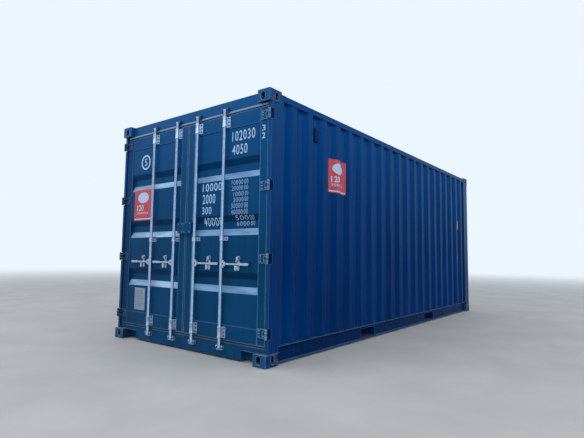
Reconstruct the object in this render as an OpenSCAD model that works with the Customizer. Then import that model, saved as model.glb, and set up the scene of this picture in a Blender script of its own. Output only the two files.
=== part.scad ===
// Twenty-foot steel dry-freight container with a two-leaf door end.
// Length runs along X with the doors at -X, width along Y, height along Z.
// The origin is the middle of the footprint, on the feet of the corner fittings.

/* [Overall] */
// Length over the corner fittings
body_l = 6058; // [5600:2:6400]
// Width over the corner fittings
body_w = 2438; // [2420:2:2460]
// Height over the corner fittings
body_h = 2591; // [2580:1:2896]

/* [Corner fittings] */
// Length of a fitting along the container
cf_l = 178; // [174:1:184]
// Width of a fitting across the container
cf_w = 162; // [158:1:170]
// Height of a fitting
cf_h = 118; // [116:1:124]
// Wall that carries the twistlock aperture
cf_plate = 28; // [24:1:32]
// Other walls of a fitting
cf_wall = 16; // [12:1:18]
// Radius of the cast edges
cf_round = 9; // [4:1:14]
// Length of the twistlock aperture
lock_slot_l = 124.5; // [118:0.5:126]
// Width of the twistlock aperture
lock_slot_w = 63.5; // [60:0.5:66]
// Aperture centre to aperture centre along the container is this much under the length
lock_inset_l = 205; // [200:1:212]
// Aperture centre to aperture centre across the container is this much under the width
lock_inset_w = 179; // [174:1:184]
// Width of the lashing holes in the outer faces
lash_w = 54; // [46:1:56]
// Height of the lashing holes
lash_h = 79.5; // [74:0.5:82]
// Centre of a lashing hole from the foot or the top of its fitting
lash_z = 66; // [64:1:68]

/* [Frame] */
// How far the frame steel stays inside the fittings' faces
frame_inset = 6; // [4:1:8]
// Clear height under the base steel
base_clear = 17; // [13:1:20]
// Thickness of the pressed posts
post_t = 6; // [4:0.5:8]
// Length of a post's leg along the side wall
post_leg = 208; // [200:1:214]
// Depth of a post's return to the wall sheet
post_return = 38; // [34:1:40]
// Length of a front post's leg across the end
front_leg = 150; // [120:5:200]
// Thickness of the inner channel
channel_t = 12; // [8:1:14]
// Size of the square tube of a top side rail
rail_tube = 60; // [50:1:70]
// Wall of the frame tubes
tube_t = 3.2; // [2.5:0.1:5]
// Underside of the roof sheet below the top of the fittings
roof_drop = 30; // [26:1:36]
// Height of a bottom side rail
bot_rail_h = 158; // [150:1:165]
// Upper flange of a bottom side rail
bot_rail_top = 48; // [44:1:52]
// Lower flange of a bottom side rail
bot_rail_low = 30; // [26:1:36]
// Thickness of a bottom side rail
bot_rail_t = 4.5; // [3:0.5:6]

/* [Wall sheets] */
// Thickness of the side and front sheets
sheet_t = 2; // [1.6:0.1:3]
// Depth of the side wall corrugation
side_d = 36; // [30:1:38]
// Outer flat of the side wall corrugation
side_outer = 72; // [60:1:84]
// Inner flat of the side wall corrugation
side_inner = 70; // [60:1:84]
// Run of one slope of the side wall corrugation
side_slope = 68; // [50:1:80]
// Depth of the front wall corrugation
front_d = 45.6; // [36:0.2:48]
// Outer flat of the front wall corrugation
front_outer = 110; // [90:1:130]
// Inner flat of the front wall corrugation
front_inner = 104; // [90:1:130]
// Run of one slope of the front wall corrugation
front_slope = 18; // [14:1:30]

/* [Roof] */
// Height of the roof corrugation
roof_d = 20; // [16:1:22]
// Crest of the roof corrugation
roof_crest = 91; // [80:1:100]
// Trough of the roof corrugation
roof_trough = 91; // [80:1:100]
// Run of one slope of the roof corrugation
roof_slope = 13.5; // [12:0.5:20]
// Plain margin along the roof's edges
roof_margin = 70; // [60:1:90]
// Width of a reinforcing plate beside a top fitting
roof_plate_w = 270; // [200:5:320]
// Gap between a reinforcing plate and the ribs' margin
roof_plate_gap = 4; // [2:1:8]
// Thickness of a reinforcing plate
roof_plate_t = 3; // [2:0.5:4]

/* [Base] */
// Height of a cross member
cross_h = 122; // [110:1:126]
// Flange of a cross member
cross_w = 45; // [38:1:50]
// Thickness of a cross member
cross_t = 4; // [3:0.5:5]
// Cross members in the bays before, between and behind the fork pockets
bay_counts = [5, 5, 5];
// Distance between the centres of the fork pockets
pocket_pitch = 2050; // [1950:10:2100]
// Clear width of a fork pocket
pocket_w = 360; // [340:5:380]
// Thickness of the plates around a fork pocket
pocket_t = 4; // [3:0.5:5]
// Length of the strap under each mouth of a fork pocket
strap_l = 200; // [150:10:300]
// Thickness of the plywood floor
floor_t = 28; // [21:1:30]
// Boards along one side of the floor
floor_boards_n = 5; // [3:1:8]
// Gap between neighbouring floor boards
floor_gap = 3; // [2:0.5:6]
// Width of the steel strip along the middle of the floor
floor_strip_w = 90; // [60:5:120]
// Thickness of the steel strip
floor_strip_t = 4; // [3:0.5:5]

/* [Door end] */
// Sill and header faces inside the end plane
beam_in = 56; // [52:1:60]
// Top of the door sill above the ground
sill_top = 170; // [166:1:172]
// Fall of the sloping top of the sill
sill_fall = 14; // [8:1:20]
// Thickness of the sill
sill_t = 6; // [4:0.5:8]
// Depth of the sill along the container
sill_d = 146; // [130:2:160]
// Width of the sill's lower flange
sill_lip = 60; // [40:2:64]
// Width of the cut-outs beside the bottom fittings
cutout_w = 200; // [150:5:240]
// Height of the cut-outs above the underside of the sill
cutout_h = 92; // [70:1:96]
// Depth of the cut-outs
cutout_d = 76; // [60:1:90]
// Thickness of the plates that line the cut-outs
cutout_t = 5; // [3:0.5:6]
// Underside of the header below the undersides of the top fittings
header_drop = 23; // [18:1:28]
// Depth of the header along the container
header_d = 120; // [110:2:124]
// Wall of the header
header_t = 4; // [3:0.5:5]
// How far the drip strip stands out
drip_out = 8; // [6:0.5:8]
// Distance of the drip strip's ends from the posts
drip_end = 24; // [10:2:40]
// Post face inside the end plane
post_in = 36; // [34:1:38]
// Clear width between the door posts
opening_w = 2334; // [2300:2:2340]
// Width of a door post's face
post_face = 33; // [30:1:36]
// Door stop behind the back of a leaf
stop_gap = 14; // [12:1:16]

/* [Door leaves] */
// Door face inside the end plane
leaf_in = 50; // [48:1:51]
// Thickness of the leaf frame
leaf_t = 50; // [46:1:54]
// Width of the leaf frame's upright tubes
stile_w = 100; // [80:1:110]
// Height of the leaf frame's cross channels
cross_rail_h = 144; // [120:1:150]
// Wall of the leaf frame
leaf_wall = 3.2; // [2.5:0.1:4]
// Gap between a leaf and its door post
gap_hinge = 20; // [18:1:22]
// Gap between the two leaves
gap_seam = 20; // [18:1:26]
// Gap above and below a leaf
gap_ends = 14; // [13:1:18]
// Panel face behind the frame face
panel_in = 8; // [6:1:10]
// Depth of the panel's recesses
recess_d = 34; // [28:1:36]
// Flat bottom of a recess
recess_flat = 72; // [50:1:90]
// Height of one slope of a recess
recess_slope = 66; // [50:1:80]
// Distance from one recess to the next
recess_pitch = 567; // [500:5:600]
// Recesses in a panel
recess_n = 3; // [2:1:3]
// Clearance of the rubber seal to the frame around the doors
seal_gap = 6; // [5:0.5:8]
// Depth of the rubber seal
seal_d = 42; // [30:1:44]
// Distance of the rubber seal behind the leaf frame
seal_behind = 2; // [1:0.5:4]
// Gap between the two seals at the middle of the doors
seal_seam = 10; // [6:1:14]

/* [Hinges] */
// Pin centre inside the end plane
pin_in_x = 19; // [18:0.5:20]
// Pin centre inside the side plane
pin_in_y = 21; // [20:0.5:22]
// Radius of a hinge pin
pin_r = 8; // [6:0.5:9]
// How far a hinge pin stands out of its blade
pin_end = 6; // [3:1:10]
// Radial clearance of a hinge pin
pin_gap = 0.05; // [0.02:0.01:0.1]
// Radius of a hinge knuckle
knuckle_r = 13; // [12:0.5:14]
// Height over a hinge blade's two arms
blade_h = 86; // [80:1:100]
// Gap between an arm and the lug between the arms
lug_gap = 1.5; // [1:0.5:3]
// Height of one arm
arm_h = 24; // [20:1:28]
// Thickness of a hinge blade
blade_t = 12; // [10:0.5:12]
// Reach of a hinge blade over the upright tube
blade_reach = 84; // [60:1:92]
// Chamfer around a hinge blade's far end
blade_bevel = 6; // [3:1:8]
// Start of a hinge blade's level part on the upright tube
blade_start = 16; // [10:1:24]
// Height of the lowest hinge above the ground
hinge_first = 300; // [290:5:320]
// Middle of the highest hinge below the top of the fittings
hinge_drop = 241; // [231:5:291]
// Hinges on a leaf
hinge_n = 4; // [3:1:5]

/* [Locking gear] */
// Radius of a locking bar
bar_r = 17; // [16:0.5:18]
// Wall of a locking bar
bar_wall = 3.2; // [2.5:0.1:5]
// Bar centre inside the end plane
bar_in = 26; // [24:0.5:27]
// Inner bars from the middle of the doors
bar_y_inner = 172; // [160:2:190]
// Outer bars from the middle of the doors
bar_y_outer = 590; // [560:2:620]
// Height of the cam heads' centres on the sill
cam_low_z = 108; // [104:1:112]
// Cam heads' centres on the header below the top of the fittings
cam_high_drop = 104; // [100:1:108]
// Height of a cam lobe
cam_h = 16; // [12:1:20]
// Half width of a cam lobe's tip
cam_tip = 6; // [4:0.5:8]
// Length of a cam lobe's slanted tip
cam_slant = 8; // [6:0.5:12]
// Radius of a cam head's collar
cam_r = 19; // [18:0.5:19]
// Gap between a cam lobe and its keeper's jaws
cam_gap = 5; // [5:0.5:7]
// Thickness of a keeper's jaws
jaw_t = 9; // [7:0.5:12]
// Width of a keeper
keeper_w = 84; // [78:1:90]
// Thickness of a keeper's horns
horn_t = 7; // [5:0.5:8]
// How far a keeper's horns stand past the bar's axis
horn_past = 8; // [4:1:12]
// Thickness of a keeper's back plate
keeper_t = 6; // [4:0.5:7]
// Bar guides above and below, height of one
guide_h = 110; // [90:2:120]
// Height of the middle bar guide
guide_mid_h = 40; // [30:2:50]
// Height of the middle bar guides above the ground
guide_mid_z = 1175; // [1120:5:1180]
// Width of a guide's foot plate beside the bar's axis
guide_foot = 60; // [50:1:62]
// Height of the collar at each end of a tall guide
collar_h = 14; // [8:1:20]
// How far a collar stands out of its guide
collar_out = 2.5; // [1:0.5:3]
// Radial clearance of a bar in its guides
guide_gap = 0.3; // [0.2:0.1:0.6]
// Wall of a bar guide
guide_wall = 4; // [3:0.5:5]
// Height of the handles above the ground
handle_z = 925; // [910:5:950]
// Length of a handle from its bar
handle_l = 372; // [340:2:390]
// Height of a handle's grip
handle_h = 25; // [20:1:28]
// Length of a handle's grip
grip_l = 128; // [100:2:132]
// Height of a handle between its hub and its grip
neck_h = 17; // [14:1:20]
// Thickness of a handle
handle_t = 12; // [10:0.5:14]
// Height of a handle's hub
hub_h = 66; // [56:2:76]
// Reach of a handle's hub from the bar's axis
hub_reach = 62; // [54:2:70]
// Thickness of a handle's hub
hub_t = 24; // [20:1:28]
// Catches from the bars on the left leaf
catch_left = 166; // [150:2:230]
// Catches from the bars on the right leaf
catch_right = 212; // [150:2:230]
// Latch pins above the handles
latch_rise = 56; // [50:1:75]
// Lean of a hanging latch towards its bar
latch_lean = 28; // [0:1:40]
// Outer radius of a latch's eye
latch_r = 17; // [14:0.5:20]
// Thickness of a latch
latch_t = 12; // [10:0.5:14]
// Gap between a latch and its catch's plate
latch_off = 8; // [6:0.5:10]
// Radius of a latch's pin
latch_pin = 6; // [4:0.5:8]
// Radial clearance of a latch's pin
latch_gap = 0.5; // [0.3:0.1:1]
// Width of a catch
catch_w = 32; // [26:1:40]
// Thickness of a catch's plates
catch_t = 6; // [4:0.5:8]
// Length of a catch's plates below the shelf
catch_tab = 34; // [20:1:44]
// Gap kept around moving pieces
move_gap = 5; // [5:0.5:7]
// Lock box height
box_h = 118; // [90:2:130]
// Middle of the lock box above the ground
box_z = 1298; // [1280:2:1310]
// Lock box over the left leaf
box_left = 92; // [70:2:100]
// Lock box over the right leaf
box_right = 122; // [100:2:130]
// Plate thickness of the lock box
box_t = 4; // [3:0.5:6]
// Face of the lock box inside the end plane
box_in = 7; // [5:1:12]
// Gap between the two halves of the lock box
box_gap = 6; // [4:1:10]

/* [Ventilators] */
// Width of a ventilator
vent_w = 62; // [50:1:66]
// Height of a ventilator
vent_h = 150; // [120:2:220]
// Depth of a ventilator
vent_d = 24; // [16:1:28]
// Louvre openings in a ventilator
vent_n = 5; // [3:1:8]
// Depth and height of a louvre opening
vent_slot = 8; // [4:0.5:10]
// Plain border around a ventilator's louvres
vent_edge = 9; // [6:0.5:14]
// Top of a ventilator below the top of the fittings
vent_drop = 210; // [160:5:260]
// Inner flats between a post and its ventilator
vent_flat_n = 2; // [1:1:5]

/* [Hidden] */
$fn = 48;
e = 0.5;
end_x = body_l / 2;
side_y = body_w / 2;
frame_x = end_x - frame_inset;
frame_y = side_y - frame_inset;
base_z = base_clear;
top_z = body_h - frame_inset;
post_low = cf_h;
post_high = body_h - cf_h;

roof_z = body_h - roof_drop;
rail_low_z = roof_z - rail_tube;
rail_out = side_y - frame_inset / 2;
bot_top = base_z + bot_rail_h;
web_y = frame_y - bot_rail_top;

side_pitch = side_outer + side_inner + 2 * side_slope;
side_room = 2 * (end_x - frame_inset - post_leg);
side_n = floor((side_room - side_inner) / side_pitch + 0.02);
side_len = side_n * side_pitch + side_inner;
front_pitch = front_outer + front_inner + 2 * front_slope;
front_room = 2 * (frame_y - front_leg);
front_n = floor((front_room - front_outer) / front_pitch);
front_len = front_n * front_pitch + front_outer;

cross_top = base_z + cross_h;
floor_top = cross_top + floor_t;

rail_end = end_x - cf_l;
in_y = side_y - cf_w;
beam_x = end_x - beam_in;
post_x = end_x - post_in;
opening_y = opening_w / 2;
post_in_y = frame_y - post_face;
header_z = post_high - header_drop;
stop_x = end_x - leaf_in - leaf_t - stop_gap;

sill_back = beam_x - sill_d;
header_knee = 50;

leaf_x = end_x - leaf_in;
leaf_back = leaf_x - leaf_t;
leaf_out = post_in_y - gap_hinge;
leaf_mid = gap_seam / 2;
leaf_low = sill_top + gap_ends;
leaf_high = header_z - gap_ends;
panel_x = leaf_x - panel_in;

pin_x = end_x - pin_in_x;
pin_y = side_y - pin_in_y;
bar_x = end_x - bar_in;
cam_high_z = body_h - cam_high_drop;
bar_ys = [bar_y_outer, bar_y_inner];
latch_z = handle_z + latch_rise;
shelf_z = handle_z - neck_h / 2 - move_gap;
run_gap = 1.2 * move_gap;

hinge_rise = body_h - hinge_drop - hinge_first;
hinge_zs = [for (i = [0 : hinge_n - 1]) hinge_first + i * hinge_rise / (hinge_n - 1)];
lug_h = blade_h - 2 * arm_h - 2 * lug_gap;
notch_h = blade_h + 2 * move_gap;
notch_d = 38;

paint = [0.03, 0.16, 0.30];
galv = [0.68, 0.71, 0.74];
rubber = [0.06, 0.06, 0.06];
ply = [0.55, 0.36, 0.20];

// Block between two corners, given as low and high along each axis
module block(x, y, z) {
    translate([min(x), min(y), min(z)])
        cube([max(x) - min(x), max(y) - min(y), max(z) - min(z)]);
}

module both_sides() {
    children();
    mirror([0, 1, 0]) children();
}

module both_ends() {
    children();
    mirror([1, 0, 0]) children();
}

// Outline in the XY plane raised from z0 to z1
module raised(z0, z1) {
    translate([0, 0, z0]) linear_extrude(z1 - z0) children();
}

// Outline drawn as (x, z) and swept along Y from y0 to y1
module across(y0, y1) {
    translate([0, y1, 0]) rotate([90, 0, 0]) linear_extrude(y1 - y0) children();
}

// Outline drawn as (y, z) and swept along X from x0 to x1
module along(x0, x1) {
    translate([x0, 0, 0]) rotate([90, 0, 90]) linear_extrude(x1 - x0) children();
}

// Slot with round ends: long size along the first axis of its plane
module slot_2d(long, wide) {
    square([long - wide, wide], center = true);
    for (s = [-1, 1]) translate([s * (long - wide) / 2, 0]) circle(d = wide);
}

module round_square(w, h, r) {
    translate([r, 0]) square([w - 2 * r, h]);
    translate([0, r]) square([w, h - 2 * r]);
    for (x = [r, w - r], y = [r, h - r]) translate([x, y]) circle(r);
}

// One fitting with its outer corner at the origin, foot down, body towards +X and +Y
module corner_fitting() {
    difference() {
        intersection() {
            linear_extrude(cf_h) round_square(cf_l, cf_w, cf_round);
            rotate([90, 0, 90]) linear_extrude(cf_l) round_square(cf_w, cf_h, cf_round);
        }
        translate([cf_wall, cf_wall, cf_plate])
            cube([cf_l - 2 * cf_wall, cf_w - 2 * cf_wall, cf_h - cf_plate - cf_wall / 2]);
        translate([lock_inset_l / 2, lock_inset_w / 2, -e])
            linear_extrude(cf_plate + 2 * e) slot_2d(lock_slot_l, lock_slot_w);
        translate([-e, lock_inset_w / 2, lash_z]) rotate([0, 90, 0])
            linear_extrude(cf_wall + 2 * e) slot_2d(lash_h, lash_w);
        translate([lock_inset_l / 2, -e, lash_z]) rotate([-90, 0, 0]) rotate([0, 0, 90])
            linear_extrude(cf_wall + 2 * e) slot_2d(lash_h, lash_w);
    }
}

module four_fittings() {
    both_ends() both_sides() translate([-end_x, -side_y, 0]) corner_fitting();
}

module bottom_corner_fittings() {
    color(paint) four_fittings();
}

module top_corner_fittings() {
    color(paint) translate([0, 0, body_h]) mirror([0, 0, 1]) four_fittings();
}

module bottom_rail_section() {
    t = bot_rail_t;
    polygon([[-frame_y, bot_top], [-web_y, bot_top], [-web_y, base_z],
        [-web_y - bot_rail_low, base_z], [-web_y - bot_rail_low, base_z + t],
        [-web_y - t, base_z + t], [-web_y - t, bot_top - t], [-frame_y, bot_top - t]]);
}

module bottom_side_rails() {
    color(paint) both_sides() difference() {
        along(-rail_end, rail_end) bottom_rail_section();
        for (s = [-1, 1])
            block([s * pocket_pitch / 2 - pocket_w / 2, s * pocket_pitch / 2 + pocket_w / 2],
                [-web_y - bot_rail_t - e, -web_y + e],
                [base_z + bot_rail_t, cross_top - pocket_t]);
    }
}

module top_side_rails() {
    color(paint) both_sides() along(-rail_end, rail_end) difference() {
        translate([-rail_out, rail_low_z]) square(rail_tube);
        translate([-rail_out + tube_t, rail_low_z + tube_t]) square(rail_tube - 2 * tube_t);
    }
}

// Folded plate with square corners: outline points p, then its inner points q in reverse
module folded(p, q) {
    polygon(concat(p, [for (i = [len(q) - 1 : -1 : 0]) q[i]]));
}

// Plan of the -Y door post: side leg with its return, face, jamb and stop
module door_post_2d() {
    t = post_t;
    leg = frame_x - post_leg;
    folded([[-leg, -frame_y + post_return], [-leg, -frame_y], [-post_x, -frame_y],
            [-post_x, -post_in_y], [-stop_x, -post_in_y], [-stop_x, -opening_y]],
        [[-leg - t, -frame_y + post_return], [-leg - t, -frame_y + t], [-post_x + t, -frame_y + t],
            [-post_x + t, -post_in_y - t], [-stop_x + t, -post_in_y - t], [-stop_x + t, -opening_y]]);
}

// Hot-rolled channel between the stop and the side leg's return, its back towards the doorway
module post_channel_2d() {
    x0 = -stop_x + post_t;
    x1 = -frame_x + post_leg - post_t;
    difference() {
        translate([x0, -frame_y + post_t]) square([x1 - x0, frame_y - post_t - opening_y]);
        translate([x0 + channel_t, -frame_y + post_t - e])
            square([x1 - x0 - 2 * channel_t, frame_y - post_t - opening_y - channel_t + e]);
    }
}

// A -Y post of the -X end: it stands on its fitting, and on the rails where it reaches past it
module post_between_rails() {
    difference() {
        raised(post_low, rail_low_z) children();
        block([-rail_end, 0], [-side_y, 0], [post_low - e, bot_top]);
        block([-end_x, -rail_end], [-side_y, -in_y], [post_high, rail_low_z + e]);
    }
}

module door_posts() {
    color(paint) both_sides() difference() {
        post_between_rails() {
            door_post_2d();
            post_channel_2d();
        }
        block([-beam_x, -rail_end + e], [-post_in_y, 0], [post_low - e, sill_top]);
        for (z = hinge_zs)
            block([-post_x - e, -post_x + notch_d], [-frame_y - e, -pin_y + pin_r],
                [z - notch_h / 2, z + notch_h / 2]);
    }
}

module front_post_2d() {
    t = post_t;
    leg = frame_x - post_leg;
    end_leg = front_len / 2;
    folded([[-leg, -frame_y + post_return], [-leg, -frame_y], [-frame_x, -frame_y], [-frame_x, -end_leg]],
        [[-leg - t, -frame_y + post_return], [-leg - t, -frame_y + t], [-frame_x + t, -frame_y + t],
            [-frame_x + t, -end_leg]]);
}

module front_posts() {
    color(paint) mirror([1, 0, 0]) both_sides() difference() {
        post_between_rails() front_post_2d();
        block([-end_x, 0], [-in_y, 0], [post_low - e, bot_top]);
    }
}

// Zigzag of n pitches starting and ending on a flat; level 0 is the first flat's level
function wave(n, start, flat_a, slope, flat_b, level) =
    concat([[start, 0]],
        [for (i = [0 : n - 1], k = [0 : 3])
            let (s = start + i * (flat_a + flat_b + 2 * slope))
            k == 0 ? [s + flat_a, 0] :
            k == 1 ? [s + flat_a + slope, level] :
            k == 2 ? [s + flat_a + slope + flat_b, level] :
                [s + flat_a + 2 * slope + flat_b, 0]],
        [[start + n * (flat_a + flat_b + 2 * slope) + flat_a, 0]]);

function shifted(path, d) = [for (p = path) [p[0], p[1] + d]];

module sheet_2d(path, t) {
    folded(path, shifted(path, t));
}

// The -Y wall sheet; its inner flats lie on the posts' returns
module side_sheet() {
    inner_y = -frame_y + post_return - sheet_t;
    raised(bot_top, rail_low_z) translate([0, inner_y])
        sheet_2d(wave(side_n, -side_len / 2, side_inner, side_slope, side_outer, -side_d + sheet_t),
            sheet_t);
}

module right_side_wall() { color(paint) side_sheet(); }

module left_side_wall() { color(paint) mirror([0, 1, 0]) side_sheet(); }

module front_wall() {
    color(paint) raised(bot_top, rail_low_z)
        translate([frame_x - sheet_t, 0]) rotate(90)
            sheet_2d(wave(front_n, -front_len / 2, front_outer, front_slope, front_inner,
                front_d - sheet_t), -sheet_t);
}

module roof_sheet() {
    run = 2 * (rail_end - roof_margin);
    pitch = roof_crest + roof_trough + 2 * roof_slope;
    n = floor((run - roof_trough) / pitch);
    len = n * pitch + roof_trough;
    half = rail_out - rail_tube - roof_plate_gap;
    path = wave(n, -len / 2, roof_trough, roof_slope, roof_crest, roof_d);
    color(paint) translate([0, 0, roof_z]) difference() {
        union() {
            block([-rail_end, rail_end], [-rail_out, rail_out], [0, sheet_t]);
            block([-beam_x + header_d, 0], [-in_y, in_y], [0, sheet_t]);
            roof_ribs(path, half, sheet_t);
        }
        roof_ribs(path, half, 0);
    }
}

// Ribs of the roof: the wave swept across, its ends cut to slopes; up is the lift of the top face
module roof_ribs(path, half, up) {
    a = path[0][0];
    b = path[len(path) - 1][0];
    under = -10;
    intersection() {
        across(-half, half) polygon(concat([[b, under], [a, under]], shifted(path, up)));
        along(a, b) polygon([[-half, under], [half, under], [half, up],
            [half - 2 * roof_d, roof_d + up], [-half + 2 * roof_d, roof_d + up], [-half, up]]);
    }
}

// Plate from the roof sheet to the closed end's header, between the fittings
module front_roof_plate() {
    color(paint) block([rail_end, frame_x - rail_tube], [-in_y, in_y], [roof_z, roof_z + sheet_t]);
}

module roof_corner_plates() {
    z = roof_z + sheet_t;
    color(paint) both_ends() both_sides()
        block([-rail_end, -rail_end + roof_margin - roof_plate_gap],
            [-rail_out, -rail_out + roof_plate_w], [z, z + roof_plate_t]);
}

// Section of the sill's face and sloping top, over the fittings and between the posts
module sill_upper_2d() {
    t = sill_t;
    low = sill_top - sill_fall;
    polygon([[-beam_x, post_low], [-beam_x, low], [-leaf_back, sill_top], [-sill_back, sill_top],
        [-sill_back, sill_top - t], [-leaf_back, sill_top - t], [-beam_x + t, low - t],
        [-beam_x + t, post_low]]);
}

// Section of the sill between the fittings, closed behind
module sill_lower_2d() {
    t = sill_t;
    polygon([[-beam_x, base_z], [-beam_x, post_low + e], [-beam_x + t, post_low + e],
        [-beam_x + t, base_z + t], [-beam_x + sill_lip, base_z + t], [-beam_x + sill_lip, base_z]]);
}

// Lined cut-out beside the -Y fitting: its corner at the fitting's side, low on the sill
module sill_cutout(grow) {
    block([-beam_x - e, -beam_x + cutout_d + grow], [-in_y - e, -in_y + cutout_w + grow],
        [base_z - e, base_z + cutout_h + grow]);
}

module door_sill() {
    t = sill_t;
    color(paint) difference() {
        union() {
            across(-post_in_y, post_in_y) sill_upper_2d();
            across(-in_y, in_y) sill_lower_2d();
            block([-sill_back - t, -sill_back], [-web_y, web_y], [base_z, sill_top - t + e]);
            both_sides() intersection() {
                sill_cutout(cutout_t);
                block([-beam_x, 0], [-in_y, 0], [base_z, sill_top]);
            }
            both_sides() block([-beam_x - cutout_t, -beam_x], [-in_y, -in_y + cutout_w + cutout_t],
                [base_z + cutout_h, base_z + cutout_h + cutout_t]);
        }
        both_sides() sill_cutout(0);
        both_sides() block([-rail_end, 0], [-side_y, -web_y], [base_z, sill_top + e]);
    }
}

// Section of the hollow header
module header_2d() {
    t = header_t;
    back = -beam_x + header_d;
    difference() {
        polygon([[-beam_x, header_z], [-beam_x, top_z], [back, top_z], [back, roof_z - header_knee],
            [back - header_knee, header_z]]);
        polygon([[-beam_x + t, header_z + t], [-beam_x + t, top_z - t], [back - t, top_z - t],
            [back - t, roof_z - header_knee], [back - header_knee - t, header_z + t]]);
    }
}

// Half-round strip over the gap above the leaves
module drip_2d() {
    half = header_drop / 2;
    polygon([for (a = [0 : 22.5 : 180])
        [-beam_x - drip_out * sin(a), header_z + half * (1 - cos(a))]]);
}

module door_header() {
    t = header_t;
    color(paint) difference() {
        union() {
            across(-in_y, in_y) header_2d();
            across(-opening_y, opening_y) intersection() {
                header_2d();
                translate([-end_x, 0]) square([end_x, post_high]);
            }
            both_sides() block([-beam_x, -stop_x - t], [-post_in_y, -in_y], [header_z, header_z + t]);
            both_sides() block([-beam_x, -beam_x + t], [-post_in_y, -in_y], [header_z, post_high]);
            across(-post_in_y + drip_end, post_in_y - drip_end) drip_2d();
        }
        for (y = [-bar_ys[0], -bar_ys[1], bar_ys[1], bar_ys[0]])
            block([-end_x, -beam_x], [y - keeper_w / 2, y + keeper_w / 2],
                [keeper_low(cam_high_z), header_z + cf_h]);
    }
}

// Tube across the closed end from z0 to z1, between the fittings
module front_tube(z0, z1) {
    t = header_t;
    color(paint) across(-in_y, in_y) difference() {
        translate([frame_x - rail_tube, z0]) square([rail_tube, z1 - z0]);
        translate([frame_x - rail_tube + t, z0 + t]) square([rail_tube - 2 * t, z1 - z0 - 2 * t]);
    }
}

module front_sill() { front_tube(base_z, bot_top); }

module front_header() { front_tube(rail_low_z, top_z); }

// C-shaped cross member with its web on the +X side of x
module cross_member(x) {
    w = cross_w;
    t = cross_t;
    across(-web_y, web_y) translate([x, base_z]) difference() {
        translate([-w / 2, 0]) square([w, cross_h]);
        translate([-w / 2 - e, t]) square([w - t + e, cross_h - 2 * t]);
    }
}

module cross_members() {
    rear = -sill_back;
    front = frame_x - rail_tube;
    near = pocket_pitch / 2 - pocket_w / 2 - pocket_t;
    far = pocket_pitch / 2 + pocket_w / 2 + pocket_t;
    bays = [[rear, -far], [-near, near], [far, front]];
    color(paint) for (b = [0 : 2], i = [1 : bay_counts[b]])
        cross_member(bays[b][0] + i * (bays[b][1] - bays[b][0]) / (bay_counts[b] + 1));
}

module fork_pockets() {
    t = pocket_t;
    w = pocket_w / 2;
    color(paint) for (s = [-1, 1]) translate([s * pocket_pitch / 2, 0, 0]) {
        block([-w - t, w + t], [-web_y, web_y], [cross_top - t, cross_top]);
        for (k = [-1, 1]) block([k * w, k * (w + t)], [-web_y, web_y], [base_z, cross_top]);
        both_sides() block([-w - t, w + t], [-web_y, -web_y + strap_l], [base_z, base_z + t]);
    }
}

module floor_boards() {
    x0 = -sill_back;
    x1 = frame_x - rail_tube;
    l = (x1 - x0) / floor_boards_n;
    color(ply) both_sides() for (i = [0 : floor_boards_n - 1])
        block([x0 + i * l, x0 + (i + 1) * l - floor_gap], [-web_y, -floor_strip_w / 2 - floor_gap],
            [cross_top, floor_top]);
}

// Hat-shaped strip that stands on the cross members between the boards
module floor_strip() {
    t = floor_strip_t;
    w = floor_strip_w / 2;
    color(paint) along(-sill_back, frame_x - rail_tube) difference() {
        translate([-w, cross_top]) square([2 * w, floor_t]);
        translate([-w + t, cross_top - e]) square([2 * (w - t), floor_t - t + e]);
    }
}

module ventilators() {
    x = -side_len / 2 + vent_flat_n * side_pitch + side_inner / 2;
    y = -frame_y + post_return - sheet_t;
    z = body_h - vent_drop;
    pitch = (vent_h - 2 * vent_edge) / vent_n;
    w = vent_w / 2;
    color(rubber) both_ends() both_sides() difference() {
        block([x - w, x + w], [y - vent_d, y], [z - vent_h, z]);
        for (i = [1 : vent_n]) translate([0, y - vent_d, z - vent_edge - i * pitch])
            block([x - w + vent_edge, x + w - vent_edge], [-e, vent_slot], [0, vent_slot]);
    }
}

function keeper_low(z) = z - cam_h / 2 - cam_gap - jaw_t;

// Horn of a keeper, full at the side where the bar comes in and tapered at the other
module horn_2d(face, high, side) {
    tip = -bar_x - horn_past;
    polygon([[face, -side * high], [face, side * high], [-bar_x, side * high], [tip, side * (high - jaw_t)],
        [tip, 0], [-bar_x, -side * (high - jaw_t)]]);
}

// Keeper for the bar at y: a cam lobe turns between its jaws and horns at height z, and the bar
// passes through a fork in the jaw that faces the doors (side -1 below the cam, 1 above it)
module keeper(y, z, side) {
    w = keeper_w / 2;
    half = cam_h / 2 + cam_gap;
    face = -beam_x - keeper_t;
    difference() {
        union() {
            block([face, -beam_x], [y - w, y + w], [z - half - jaw_t, z + half + jaw_t]);
            for (s = [-1, 1]) {
                block([-bar_x, face], [y - w + e, y + w - e], [z + s * half, z + s * (half + jaw_t)]);
                translate([0, y + s * (w - horn_t / 2), z]) across(-horn_t / 2, horn_t / 2)
                    horn_2d(face, half + jaw_t, side);
            }
        }
        block([face - e, -beam_x + e], [y - cam_r - move_gap, y + cam_r + move_gap], [z - half, z + half]);
        translate([-bar_x, y, z + side * (half + jaw_t / 2) - jaw_t])
            cylinder(r = bar_r + move_gap, h = 2 * jaw_t);
    }
}

module cam_keepers() {
    color(galv) for (y = [-bar_ys[0], -bar_ys[1], bar_ys[1], bar_ys[0]]) {
        keeper(y, cam_low_z, 1);
        keeper(y, cam_high_z, -1);
    }
}

module hinge_lugs() {
    color(paint) both_sides() for (z = hinge_zs) {
        translate([-pin_x, -pin_y, z - lug_h / 2]) cylinder(r = knuckle_r, h = lug_h);
        block([-pin_x, -post_x], [-pin_y, -post_in_y], [z - lug_h / 2, z + lug_h / 2]);
        translate([-pin_x, -pin_y, z - blade_h / 2 - pin_end])
            cylinder(r = pin_r, h = blade_h + 2 * pin_end);
    }
}

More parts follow.
